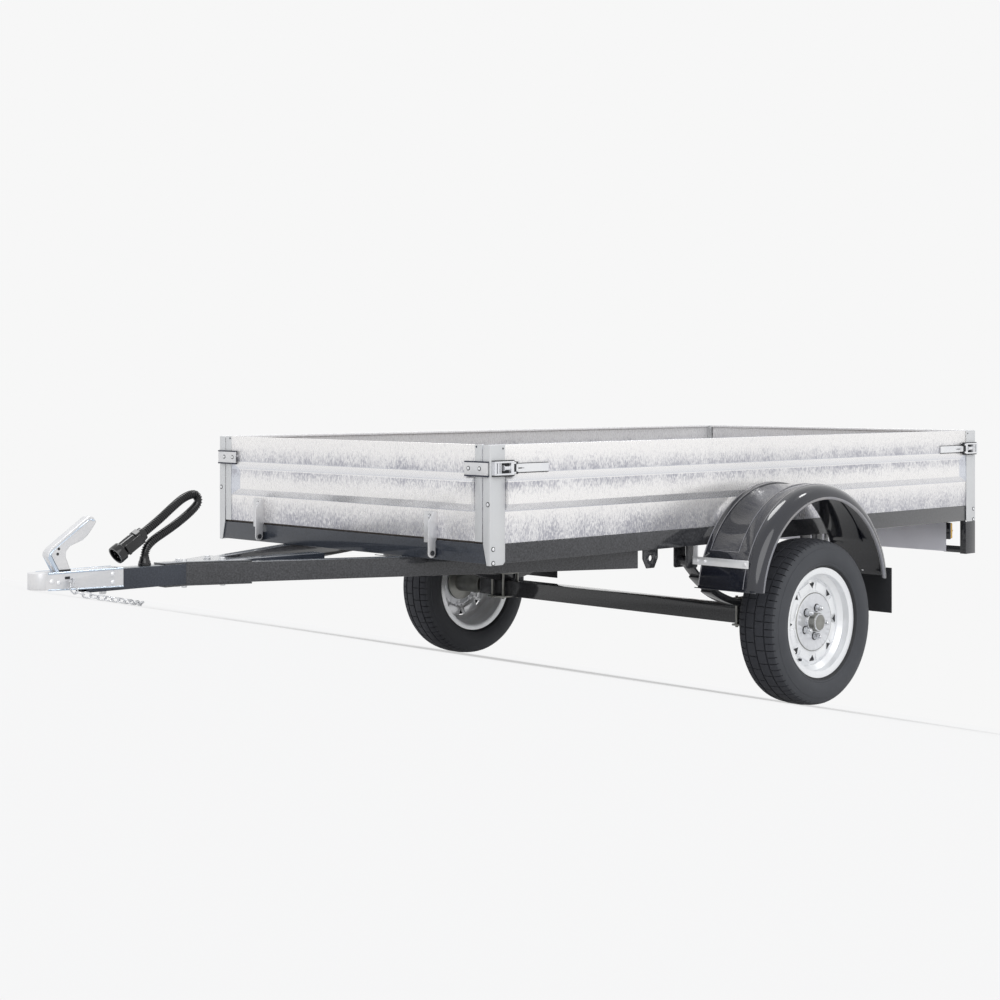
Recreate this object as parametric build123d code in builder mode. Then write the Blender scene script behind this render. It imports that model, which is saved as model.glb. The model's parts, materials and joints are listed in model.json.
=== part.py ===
from build123d import *
import os
from math import asin, atan2, cos, degrees, hypot, pi, radians, sin, sqrt, tan

os.makedirs("parts", exist_ok=True)

# Single-axle utility trailer. Everything is laid out on the level chassis:
# X = 0 is the front of the box, +X runs forward to the coupling, +Y is the left side and
# Z = 0 is the underside of the frame. parked() then carries each finished piece to the
# coupling's ball centre and tips it until the coupling's nose rests on the floor.

# ---- driving dimensions, mm ----
box_length = 2612.0
box_width = 1350.0
box_top = 350.0
post_sheet = 3.0
post_side_width = 62.0
post_end_width = 30.0
post_drop = 4.0
post_top_gap = 1.0
post_corner = 9.0

rail_height = 58.0
rail_width = 40.0
side_rail_width = 80.0
rail_wall = 3.0
crossmember_size = 40.0
crossmember_count = 3
board_thickness = 9.0
board_gap = 1.0

panel_sheet = 3.0
rib_rise = 15.0
rib_low = 94.0
rib_high = 208.0
rib_low_slope = 22.0
rib_high_slope = 28.0
rib_end_gap = 2.0
rib_end_slope = 68.0
hem_height = 9.0
hem_thickness = 9.0

gate_gap = 5.0
gate_rise = 6.0
hinge_spots = (440.0, -425.0)
hinge_plate = 4.0
hinge_flange_width = 54.0
hinge_flange_top = 144.0
hinge_flange_low = 49.0
hinge_pivot_reach = 18.0
hinge_pivot_height = 20.0
hinge_eye_radius = 14.0
hinge_pin_radius = 4.0
hinge_head_radius = 8.0
hinge_pin_clearance = 0.05
hinge_side_clearance = 1.0
stile_width = 30.0
stile_sheet = 2.0
strike_height = 38.0
strike_low = 260.0
strike_inner = 573.0
strike_sheet = 3.0
strike_standoff = 5.0
strike_boss_radius = 6.0
strike_boss_spots = (587.0, 625.0)

latch_low = 262.0
latch_high = 302.0
latch_base_end = 112.0
latch_strap_end = 242.0
latch_strap_low = 268.0
latch_strap_high = 292.0
latch_sheet = 4.0
latch_lever_start = 42.0
latch_lever_rise = 12.0
latch_hook_start = 4.0
latch_hook_end = 20.0
latch_inset = 5.0

tongue_size = 60.0
tongue_wall = 3.0
tongue_front = 950.0
tongue_rear = 100.0
beam_width = 40.0
beam_front = 618.0
beam_rear = -685.0
beam_rear_half_spread = 640.0
gusset_sheet = 5.0
gusset_front = 690.0
gusset_rear = 440.0

coupling_rear = 833.0
coupling_sheet = 4.0
coupling_skirt = 50.0
nose_skirt = 42.0
ball_radius = 25.0
socket_wall = 9.0
ball_x = 1080.0
ball_drop = 2.0
handle_width = 32.0
handle_edge = 3.0
chain_eye_back = 72.0
chain_eye_drop = 22.0
chain_eye_sheet = 4.0
chain_eye_length = 24.0
chain_eye_reach = 20.0
chain_eye_hole = 5.0

link_length = 30.0
link_width = 20.0
link_wire = 4.0
link_slack = 0.8
floor_clearance = 0.4

axle_back = 1300.0
axle_drop = 263.0
axle_size = 60.0
axle_wall = 4.0
axle_end_gap = 119.0
stub_radius = 15.0
bearing_clearance = 0.05

leaf_count = 3
leaf_thickness = 8.0
leaf_width = 45.0
spring_half_length = 344.0
spring_inset = 65.0
spring_eye_drop = 55.0
leaf_shares = (1.0, 0.82, 0.62)
spring_eye_radius = 17.0
spring_bolt_radius = 8.0
spring_bolt_clearance = 0.1
hanger_plate = 5.0
hanger_length = 56.0
hanger_drop = 78.0
hanger_side_clearance = 1.0
clamp_plate = 6.0
clamp_length = 104.0
clamp_rod_radius = 5.0
clamp_rod_clearance = 3.0

tyre_radius = 277.0
tyre_width = 167.0
tread_width = 128.0
shoulder_drop = 8.0
bulge_radius = 222.0
wheel_reach = 163.0
rim_flange_radius = 182.5
rim_seat_radius = 166.0
rim_well_radius = 150.0
rim_width = 128.0
rim_sheet = 4.0
disc_offset = 26.0
dome_radius = 95.0
pad_inner_radius = 101.0
pad_outer_radius = 129.0
pad_rise = 5.0
pad_root = 8.0
pad_angle = 27.0
vent_count = 8
vent_radius = 124.0
vent_size = 30.0
hub_length = 168.0
hub_barrel_radius = 34.0
hub_flange_radius = 68.0
hub_flange = 8.0
hub_cap_radius = 31.0
hub_cap_reach = 60.0
stub_cap_gap = 4.0
hub_cap_depth = 22.0

arch_radius = 382.0
arch_centre_drop = 187.0
arch_sheet = 3.0
arch_wall_gap = 1.0
arch_cover = 3.5
arch_shoulder = 46.0
arch_end_angle = 8.0
arch_foot = 20.0
panel_start = 24.0
panel_end = 76.0
panel_recess = 4.0
panel_end_angle = 27.0
stay_height = 26.0
stay_sheet = 4.0
stay_drop = 49.0
stay_root = 17.0
stay_tip_gap = 40.0
stay_bracket_width = 18.0
stay_bracket_sheet = 4.0
flap_sheet = 4.0
flap_bottom = 262.0
flap_top = 106.0
flap_margin = 4.0

lamp_board_sheet = 3.0
lamp_board_side_gap = 109.0
lamp_board_drop = 127.0
lamp_board_inset = 32.0
lamp_width = 155.0
lamp_overhang = 16.0
lamp_low = 80.0
lamp_high = 14.0
lamp_depth = 26.0
bracket_sheet = 3.0
bracket_side_length = 66.0
bracket_front_width = 26.0
bracket_drop = 129.0
bracket_strip_height = 26.0
bracket_strip_overlap = 12.0

lashing_back = 702.0
lashing_length = 70.0
lashing_drop = 62.0
lashing_sheet = 6.0
lashing_y = 645.0
lashing_hole_radius = 9.5
lashing_hole_drop = 30.0

cord_radius = 13.0
gland_radius = 19.0
gland_height = 16.0
# the plug's profile: each step's end, measured from the conduit, and its radius
plug_steps = ((14.0, 21.0), (32.0, 26.0), (84.0, 22.0), (109.0, 28.0))
plug_mouth_radius = 22.0
plug_mouth_depth = 20.0

# ---- places worked out from them ----
half_width = box_width / 2
skin = half_width - post_sheet
front_face = -post_sheet
rear_face = -box_length + post_sheet
box_middle = -box_length / 2
axle_x = -axle_back
wheel_z = -axle_drop
ball_z = -ball_drop - ball_radius
nose_x = ball_x + ball_radius + socket_wall
lamp_board_half_width = half_width - lamp_board_side_gap
wheel_centre = half_width + wheel_reach
axle_half_length = wheel_centre - axle_end_gap
hub_cap_end = wheel_centre + hub_cap_reach
stub_end = hub_cap_end - hub_cap_depth
arch_inner = skin + rib_rise + arch_wall_gap
arch_outer = wheel_centre + tyre_width / 2 + arch_cover
stay_inner = skin - stay_root
stay_outer = arch_outer - stay_tip_gap
lamp_outer = lamp_board_half_width + lamp_overhang
shoulder_radius = tyre_radius - shoulder_drop
sides = (("left", 1), ("right", -1))
ends = (("front", front_face, 1), ("rear", rear_face, -1))

nose_reach = hypot(nose_x - axle_x, -nose_skirt - wheel_z)
nose_rise = atan2(-nose_skirt - wheel_z, nose_x - axle_x)
nose_down = degrees(nose_rise + asin(tyre_radius / nose_reach))


def parked(piece):
    """Carry a piece from the level chassis to the ball centre, and tip it nose down."""
    return piece.moved(Location((-ball_x, 0, -ball_z))).rotate(Axis.Y, nose_down)


def parked_point(x, z):
    """Where a point of the level chassis lies once the trailer is parked."""
    turn = radians(nose_down)
    dx = x - ball_x
    dz = z - ball_z
    return dx * cos(turn) + dz * sin(turn), dz * cos(turn) - dx * sin(turn)


def block(x_span, y_span, z_span, mode=Mode.ADD):
    """Add or cut a box between three pairs of limits."""
    spans = [sorted(span) for span in (x_span, y_span, z_span)]
    with Locations(tuple((low + high) / 2 for low, high in spans)):
        Box(*(high - low for low, high in spans), mode=mode)


def tube(x_span, y_span, z_span, wall, along):
    """Add a rectangular tube, open at both ends along X or Y."""
    block(x_span, y_span, z_span)
    low_z, high_z = sorted(z_span)
    inner_z = (low_z + wall, high_z - wall)
    if along == "x":
        low, high = sorted(y_span)
        block(x_span, (low + wall, high - wall), inner_z, Mode.SUBTRACT)
    else:
        low, high = sorted(x_span)
        block((low + wall, high - wall), y_span, inner_z, Mode.SUBTRACT)


def flank(y):
    """The upright X-Z plane at this distance to the left of the middle."""
    return Plane.XZ.offset(-y)


def cross_plane(x):
    """The upright Y-Z plane at this distance ahead of the box front."""
    return Plane.YZ.offset(x)


floor_z = parked_point(axle_x, wheel_z)[1] - tyre_radius

# ---- frame ----
for side, sign in sides:
    with BuildPart() as side_rail:
        tube((front_face - rail_width, rear_face + rail_width),
             (sign * (skin - side_rail_width), sign * skin), (0, rail_height), rail_wall, "x")
    side_rail.part.label = f"side_rail_{side}"
    export_step(parked(side_rail.part), f"parts/side_rail_{side}.step")

for end, face, heading in ends:
    with BuildPart() as end_rail:
        tube((face, face - heading * rail_width), (-skin, skin), (0, rail_height), rail_wall, "y")
    end_rail.part.label = f"{end}_rail"
    export_step(parked(end_rail.part), f"parts/{end}_rail.step")

cross_half = skin - side_rail_width
with BuildPart() as crossmembers:
    for step in range(1, crossmember_count + 1):
        middle = -box_length * step / (crossmember_count + 1)
        tube((middle - crossmember_size / 2, middle + crossmember_size / 2),
             (-cross_half, cross_half), (rail_height - crossmember_size, rail_height), rail_wall, "y")
crossmembers.part.label = "crossmembers"
export_step(parked(crossmembers.part), "parts/crossmembers.step")

board_edge = panel_sheet + board_gap
with BuildPart() as floor_board:
    block((front_face - board_edge - gate_gap, rear_face + board_edge + gate_gap),
          (board_edge - skin, skin - board_edge), (rail_height, rail_height + board_thickness))
floor_board.part.label = "floor_board"
export_step(parked(floor_board.part), "parts/floor_board.step")


# ---- pressed walls: flat sheet, one raised band with sloping ends, hemmed top ----
wall_height = box_top - rail_height
side_length = front_face - rear_face
gate_length = 2 * (half_width - post_end_width - gate_gap)
crest_low = rib_low + rib_low_slope
crest_high = rib_high - rib_high_slope
side_margin = post_side_width - post_sheet + rib_end_gap
gate_margin = stile_width + rib_end_gap
walls = (
    ("side_wall_left", (box_middle, skin), (0, 1), side_length, side_margin, 0.0),
    ("side_wall_right", (box_middle, -skin), (0, -1), side_length, side_margin, 0.0),
    ("front_gate", (front_face, 0), (1, 0), gate_length, gate_margin, gate_rise),
    ("rear_gate", (rear_face, 0), (-1, 0), gate_length, gate_margin, gate_rise),
)
for name, place, outward, length, margin, bottom in walls:
    wall_plane = Plane(origin=(*place, rail_height), x_dir=(-outward[1], outward[0], 0),
                       z_dir=(*outward, 0))
    band_length = length - 2 * margin
    crest_length = band_length - 2 * rib_end_slope
    with BuildPart() as wall:
        with BuildSketch(wall_plane.offset(-panel_sheet)):
            with Locations((0, (bottom + wall_height) / 2)):
                Rectangle(length, wall_height - bottom)
        extrude(amount=panel_sheet)
        for drop, mode in ((0.0, Mode.ADD), (panel_sheet, Mode.SUBTRACT)):
            with BuildSketch(wall_plane.offset(-drop)):
                with Locations((0, (rib_low + rib_high) / 2)):
                    Rectangle(band_length, rib_high - rib_low)
            with BuildSketch(wall_plane.offset(rib_rise - drop)):
                with Locations((0, (crest_low + crest_high) / 2)):
                    Rectangle(crest_length, crest_high - crest_low)
            loft(mode=mode)
        with BuildSketch(wall_plane.offset(-hem_thickness)):
            with Locations((0, wall_height - hem_height / 2)):
                Rectangle(length, hem_height)
        extrude(amount=hem_thickness)
    wall.part.label = name
    export_step(parked(wall.part), f"parts/{name}.step")

# ---- corner posts: one angle, repeated at the four corners ----
post_top = box_top - post_top_gap
with BuildPart() as corner_posts:
    with BuildSketch(cross_plane(-post_sheet / 2)):
        with BuildLine():
            Polyline((half_width, post_top), (half_width - post_end_width, post_top),
                     (half_width - post_end_width, rail_height),
                     (half_width - post_end_width / 2, -post_drop),
                     (half_width, -post_drop), close=True)
        make_face()
    extrude(amount=post_sheet / 2, both=True)
    with BuildSketch(flank(half_width - post_sheet / 2)):
        with BuildLine():
            Polyline((0, post_top), (-post_side_width, post_top),
                     (-post_side_width, post_corner - post_drop),
                     (post_corner - post_side_width, -post_drop), (0, -post_drop), close=True)
        make_face()
    extrude(amount=post_sheet / 2, both=True)
    mirror(about=cross_plane(box_middle))
    mirror(about=Plane.XZ)
corner_posts.part.label = "corner_posts"
export_step(parked(corner_posts.part), "parts/corner_posts.step")

# ---- gate hinges: an angle leaf on the gate, two ears and a pin on the frame ----
ear_thickness = hinge_plate
ear_offset = hinge_plate / 2 + hinge_side_clearance + ear_thickness / 2
leaf_root = gate_rise + rail_height + 2.0
strike_top = strike_low + strike_height

for end, face, heading in ends:
    pivot_x = face + heading * (hinge_pivot_reach + post_sheet)
    crown_x = pivot_x + heading * hinge_eye_radius
    throat_x = pivot_x - heading * hinge_eye_radius
    outer_face = face + heading * post_sheet
    strike_face = outer_face + heading * strike_standoff
    with BuildPart() as gate_fittings:
        for spot in hinge_spots:
            with BuildSketch(flank(spot)):
                with BuildLine():
                    Polyline((face, leaf_root), (face, hinge_flange_top),
                             (face + heading * hinge_eye_radius, hinge_flange_top),
                             (crown_x, hinge_flange_top * 0.8), (crown_x, hinge_pivot_height),
                             (throat_x, hinge_pivot_height), (throat_x, rail_height - 4.0),
                             close=True)
                make_face()
                with Locations((pivot_x, hinge_pivot_height)):
                    Circle(hinge_eye_radius)
                    Circle(hinge_pin_radius + hinge_pin_clearance, mode=Mode.SUBTRACT)
            extrude(amount=hinge_plate / 2, both=True)
            block((face, face + heading * hinge_plate), (spot - hinge_flange_width, spot),
                  (leaf_root, hinge_flange_top))
            block((face + heading * hinge_side_clearance, face + heading * hinge_plate),
                  (spot - hinge_flange_width, spot - hinge_flange_width / 3),
                  (hinge_flange_low, leaf_root))
        for sign in (1, -1):
            block((strike_face, strike_face + heading * strike_sheet),
                  (sign * strike_inner, sign * skin), (strike_low, strike_top))
            for spot in strike_boss_spots:
                with BuildSketch(cross_plane(face)):
                    with Locations((sign * spot, strike_low + strike_height * 0.6)):
                        Circle(strike_boss_radius)
                extrude(amount=heading * (post_sheet + strike_standoff))
            block((face, face + heading * stile_sheet),
                  (sign * (gate_length / 2 - stile_width), sign * gate_length / 2),
                  (rail_height + gate_rise, box_top))
    gate_fittings.part.label = f"{end}_gate_fittings"
    export_step(parked(gate_fittings.part), f"parts/{end}_gate_fittings.step")

with BuildPart() as hinge_lugs:
    for end, face, heading in ends:
        pivot_x = face + heading * (hinge_pivot_reach + post_sheet)
        for spot in hinge_spots:
            with BuildSketch(flank(spot - ear_offset)):
                with BuildLine():
                    Polyline((face, hinge_pivot_height - hinge_eye_radius),
                             (face, hinge_pivot_height + hinge_eye_radius),
                             (pivot_x, hinge_pivot_height + hinge_eye_radius),
                             (pivot_x, hinge_pivot_height - hinge_eye_radius), close=True)
                make_face()
                with Locations((pivot_x, hinge_pivot_height)):
                    Circle(hinge_eye_radius)
            extrude(amount=ear_thickness / 2, both=True)
            for start, end_y, pin_radius in (
                (spot - ear_offset, spot + ear_offset, hinge_pin_radius),
                (spot + hinge_plate / 2 + hinge_side_clearance, spot + ear_offset, hinge_head_radius),
            ):
                with BuildSketch(flank(start)):
                    with Locations((pivot_x, hinge_pivot_height)):
                        Circle(pin_radius)
                extrude(amount=start - end_y)
hinge_lugs.part.label = "hinge_lugs"
export_step(parked(hinge_lugs.part), "parts/hinge_lugs.step")

# ---- toggle latches on the side walls, one at each corner ----
with BuildPart() as toggle_latches:
    block((-latch_inset, -latch_base_end), (half_width, half_width + latch_sheet),
          (latch_low, latch_high))
    block((-post_side_width, -latch_strap_end), (skin, skin + latch_sheet),
          (latch_strap_low, latch_strap_high))
    block((-latch_lever_start, -latch_base_end),
          (half_width, half_width + latch_sheet + latch_lever_rise),
          (latch_low + 4.0, latch_high - 4.0))
    block((-latch_inset - latch_hook_start, -latch_inset - latch_hook_end),
          (half_width, half_width + latch_sheet + latch_lever_rise * 0.6),
          (latch_low + 3.0, latch_high - 3.0))
    mirror(about=cross_plane(box_middle))
    mirror(about=Plane.XZ)
toggle_latches.part.label = "toggle_latches"
export_step(parked(toggle_latches.part), "parts/toggle_latches.step")

# ---- drawbar: a central tongue and two beams that spread back under the side rails ----
tongue_half = tongue_size / 2
with BuildPart() as tongue:
    tube((tongue_rear, tongue_front), (-tongue_half, tongue_half), (-tongue_size, 0), tongue_wall, "x")
tongue.part.label = "tongue"
export_step(parked(tongue.part), "parts/tongue.step")

spread = atan2(beam_rear_half_spread - tongue_half, beam_front - beam_rear)
beam_length = hypot(beam_rear_half_spread - tongue_half, beam_front - beam_rear)
for side, sign in sides:
    forward = Vector(cos(spread), -sign * sin(spread), 0)
    inward = Vector(-sin(spread), -sign * cos(spread), 0)
    rear_end = Vector(beam_rear, sign * beam_rear_half_spread, -tongue_half) + inward * (beam_width / 2)
    with BuildPart() as drawbar_beam:
        with BuildSketch(Plane(origin=rear_end, x_dir=(0, 0, 1), z_dir=forward)):
            Rectangle(tongue_size, beam_width)
            Rectangle(tongue_size - 2 * tongue_wall, beam_width - 2 * tongue_wall, mode=Mode.SUBTRACT)
        extrude(amount=beam_length)
        split(bisect_by=Plane(origin=(0, sign * tongue_half, 0), z_dir=(0, sign, 0)), keep=Keep.TOP)
    drawbar_beam.part.label = f"drawbar_beam_{side}"
    export_step(parked(drawbar_beam.part), f"parts/drawbar_beam_{side}.step")

gusset_rear_half = tongue_half + (beam_front - gusset_rear) * (
    (beam_rear_half_spread - tongue_half) / (beam_front - beam_rear))
with BuildPart() as gusset_plates:
    for level in (gusset_sheet / 2, -tongue_size - gusset_sheet / 2):
        with BuildSketch(Plane.XY.offset(level)):
            with BuildLine():
                Polyline((gusset_front, -tongue_half), (gusset_front, tongue_half),
                         (beam_front, tongue_half), (gusset_rear, gusset_rear_half),
                         (gusset_rear, -gusset_rear_half), (beam_front, -tongue_half), close=True)
            make_face()
        extrude(amount=gusset_sheet / 2, both=True)
gusset_plates.part.label = "gusset_plates"
export_step(parked(gusset_plates.part), "parts/gusset_plates.step")

# ---- coupling head: a pressed skirt over the tongue, closing to a ball socket ----
head_radius = ball_radius + socket_wall
eye_x = ball_x - chain_eye_back
with BuildPart() as coupling_head:
    with BuildSketch(Plane.XZ):
        with BuildLine():
            Polyline((coupling_rear, coupling_sheet), (nose_x, coupling_sheet), (nose_x, -nose_skirt),
                     (coupling_rear, -coupling_skirt), close=True)
        make_face()
    extrude(amount=head_radius, both=True)
    with BuildSketch(Plane.XY.offset(-coupling_skirt)):
        with Locations(((coupling_rear + ball_x) / 2, 0)):
            Rectangle(ball_x - coupling_rear, 2 * head_radius)
        with Locations((ball_x, 0)):
            Circle(head_radius)
    extrude(amount=coupling_skirt + coupling_sheet, mode=Mode.INTERSECT)
    block((coupling_rear, ball_x - ball_radius - coupling_sheet), (-tongue_half, tongue_half),
          (-coupling_skirt, 0), Mode.SUBTRACT)
    with BuildSketch(Plane.XY.offset(-coupling_skirt)):
        with Locations((ball_x, 0)):
            Circle(ball_radius)
    extrude(amount=coupling_skirt + ball_z, mode=Mode.SUBTRACT)
    with Locations((ball_x, 0, ball_z)):
        Sphere(ball_radius, mode=Mode.SUBTRACT)
    block((eye_x - chain_eye_length / 2, eye_x + chain_eye_length / 2),
          (tongue_half, head_radius + chain_eye_reach),
          (-chain_eye_drop, -chain_eye_drop + chain_eye_sheet))
    with BuildSketch(Plane.XY.offset(-chain_eye_drop)):
        with Locations((eye_x, head_radius + chain_eye_reach / 2)):
            Circle(chain_eye_hole)
    extrude(amount=chain_eye_sheet, mode=Mode.SUBTRACT)
coupling_head.part.label = "coupling_head"
export_step(parked(coupling_head.part), "parts/coupling_head.step")

# outline of the hand lever: distance ahead of the ball, height over the coupling's top
handle_outline = (
    (-44, 0), (-15, 45), (-17, 56), (-28, 68), (-143, 148), (-153, 150), (-162, 146), (-170, 133),
    (-160, 118), (-143, 97), (-127, 84), (-86, 69), (-74, 56), (-72, 40), (-88, 0),
)
with BuildPart() as coupling_handle:
    with BuildSketch(Plane.XZ):
        with BuildLine():
            Polyline(*((ball_x + ahead, coupling_sheet + rise) for ahead, rise in handle_outline),
                     close=True)
        make_face()
    extrude(amount=handle_width / 2, both=True)
    fillet(coupling_handle.edges().filter_by(Plane.XZ), handle_edge)
coupling_handle.part.label = "coupling_handle"
export_step(parked(coupling_handle.part), "parts/coupling_handle.step")

# ---- safety chain: it hangs from its eye and lies on the floor beside the nose ----
pitch = link_length - 2 * link_wire - link_slack
lying_height = (link_width + link_wire) / 2 / sqrt(2) + floor_clearance
eye_top_x, eye_top_z = parked_point(eye_x, -chain_eye_drop + chain_eye_sheet)
first_joint = Vector(eye_top_x, head_radius + (chain_eye_reach + link_width - link_wire) / 2,
                     eye_top_z + link_slack + 1.0)
# each link's heading in degrees from +X, seen from above, and its roll about its own length
link_courses = (
    (90, 0), (170, 3), (168, 93), (164, 20), (160, 120), (166, 40), (172, 133),
    (178, 45), (186, 135), (194, 45), (202, 135), (210, 45), (217, 135), (222, 45),
)
levels = (first_joint.Z - pitch, floor_z + lying_height + 4.0, floor_z + lying_height + 1.5,
          floor_z + lying_height + 1.0, floor_z + lying_height)
joint = first_joint
with BuildPart() as safety_chain:
    for index, (heading_angle, roll) in enumerate(link_courses):
        drop = joint.Z - levels[min(index, len(levels) - 1)]
        run = sqrt(max(pitch**2 - drop**2, 0.0))
        heading = Vector(cos(radians(heading_angle)), sin(radians(heading_angle)), 0)
        along = (heading * run - Vector(0, 0, drop)).normalized()
        across = Vector(-heading.Y, heading.X, 0)
        face_on = across * cos(radians(roll)) + along.cross(across) * sin(radians(roll))
        centre = joint + along * (pitch / 2)
        with BuildSketch(Plane(origin=centre, x_dir=along, z_dir=face_on)):
            SlotOverall(link_length, link_width)
            SlotOverall(link_length - 2 * link_wire, link_width - 2 * link_wire, mode=Mode.SUBTRACT)
        extrude(amount=link_wire / 2, both=True)
        joint = joint + along * pitch
safety_chain.part.label = "safety_chain"
export_step(safety_chain.part, "parts/safety_chain.step")

# ---- axle, springs, hangers and clamps ----
with BuildPart() as axle_beam:
    tube((axle_x - axle_size / 2, axle_x + axle_size / 2), (-axle_half_length, axle_half_length),
         (wheel_z - axle_size / 2, wheel_z + axle_size / 2), axle_wall, "y")
    for sign in (1, -1):
        with BuildSketch(flank(sign * (axle_half_length - axle_wall))):
            with Locations((axle_x, wheel_z)):
                Rectangle(axle_size, axle_size)
        extrude(amount=-sign * axle_wall)
        with BuildSketch(flank(sign * axle_half_length)):
            with Locations((axle_x, wheel_z)):
                Circle(stub_radius)
        extrude(amount=-sign * (stub_end - axle_half_length))
axle_beam.part.label = "axle_beam"
export_step(parked(axle_beam.part), "parts/axle_beam.step")

spring_y = skin - spring_inset
seat_z = wheel_z + axle_size / 2
main_leaf_z = seat_z + (leaf_count - 0.5) * leaf_thickness
spring_rise = -spring_eye_drop - main_leaf_z
spring_radius = (spring_half_length**2 + spring_rise**2) / (2 * spring_rise)
spring_sweep = degrees(asin(spring_half_length / spring_radius))
spring_centre = (axle_x, main_leaf_z + spring_radius)
eye_spots = [(axle_x + way * spring_half_length, -spring_eye_drop) for way in (1, -1)]

for side, sign in sides:
    with BuildPart() as leaf_spring:
        with BuildSketch(flank(sign * spring_y)):
            for index, share in enumerate(leaf_shares):
                inner = spring_radius + (index - 0.5) * leaf_thickness
                outer = inner + leaf_thickness
                start = 270 - spring_sweep * share
                with BuildLine():
                    inner_arc = CenterArc(spring_centre, inner, start, 2 * spring_sweep * share)
                    outer_arc = CenterArc(spring_centre, outer, start, 2 * spring_sweep * share)
                    Line(inner_arc @ 0, outer_arc @ 0)
                    Line(inner_arc @ 1, outer_arc @ 1)
                make_face()
            with Locations(*eye_spots):
                Circle(spring_eye_radius)
                Circle(spring_bolt_radius + spring_bolt_clearance, mode=Mode.SUBTRACT)
        extrude(amount=leaf_width / 2, both=True)
    leaf_spring.part.label = f"leaf_spring_{side}"
    export_step(parked(leaf_spring.part), f"parts/leaf_spring_{side}.step")

hanger_offset = leaf_width / 2 + hanger_side_clearance + hanger_plate / 2
with BuildPart() as spring_hangers:
    for eye_spot_x, eye_spot_z in eye_spots:
        for offset_y in (hanger_offset, -hanger_offset):
            with BuildSketch(flank(spring_y + offset_y)):
                with Locations((eye_spot_x, -hanger_drop / 2)):
                    RectangleRounded(hanger_length, hanger_drop, 8.0)
            extrude(amount=hanger_plate / 2, both=True)
        block((eye_spot_x - hanger_length / 2 + 8.0, eye_spot_x + hanger_length / 2 - 8.0),
              (spring_y - hanger_offset, spring_y + hanger_offset), (-hanger_plate, 0))
        with BuildSketch(flank(spring_y)):
            with Locations((eye_spot_x, eye_spot_z)):
                Circle(spring_bolt_radius)
        extrude(amount=hanger_offset + hanger_plate, both=True)
    mirror(about=Plane.XZ)
spring_hangers.part.label = "spring_hangers"
export_step(parked(spring_hangers.part), "parts/spring_hangers.step")

clamp_top = seat_z + leaf_count * leaf_thickness
clamp_bottom = wheel_z - axle_size / 2
rod_x = axle_size / 2 + clamp_rod_clearance + clamp_rod_radius
rod_y = leaf_width / 2 + clamp_rod_clearance + clamp_rod_radius
with BuildPart() as spring_clamps:
    with BuildSketch(flank(spring_y)):
        with Locations((axle_x, clamp_top + clamp_plate / 2)):
            Rectangle(clamp_length, clamp_plate)
        with Locations(spring_centre):
            Circle(spring_radius - leaf_thickness / 2, mode=Mode.INTERSECT)
        with Locations((axle_x, clamp_bottom - clamp_plate / 2)):
            Rectangle(clamp_length, clamp_plate)
    extrude(amount=rod_y + 2 * clamp_rod_radius, both=True)
    with BuildSketch(Plane.XY.offset(clamp_bottom - 2 * clamp_plate)):
        with Locations((axle_x, spring_y)):
            with GridLocations(2 * rod_x, 2 * rod_y, 2, 2):
                Circle(clamp_rod_radius)
    extrude(amount=clamp_top - clamp_bottom + 4 * clamp_plate)
    mirror(about=Plane.XZ)
spring_clamps.part.label = "spring_clamps"
export_step(parked(spring_clamps.part), "parts/spring_clamps.step")

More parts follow.
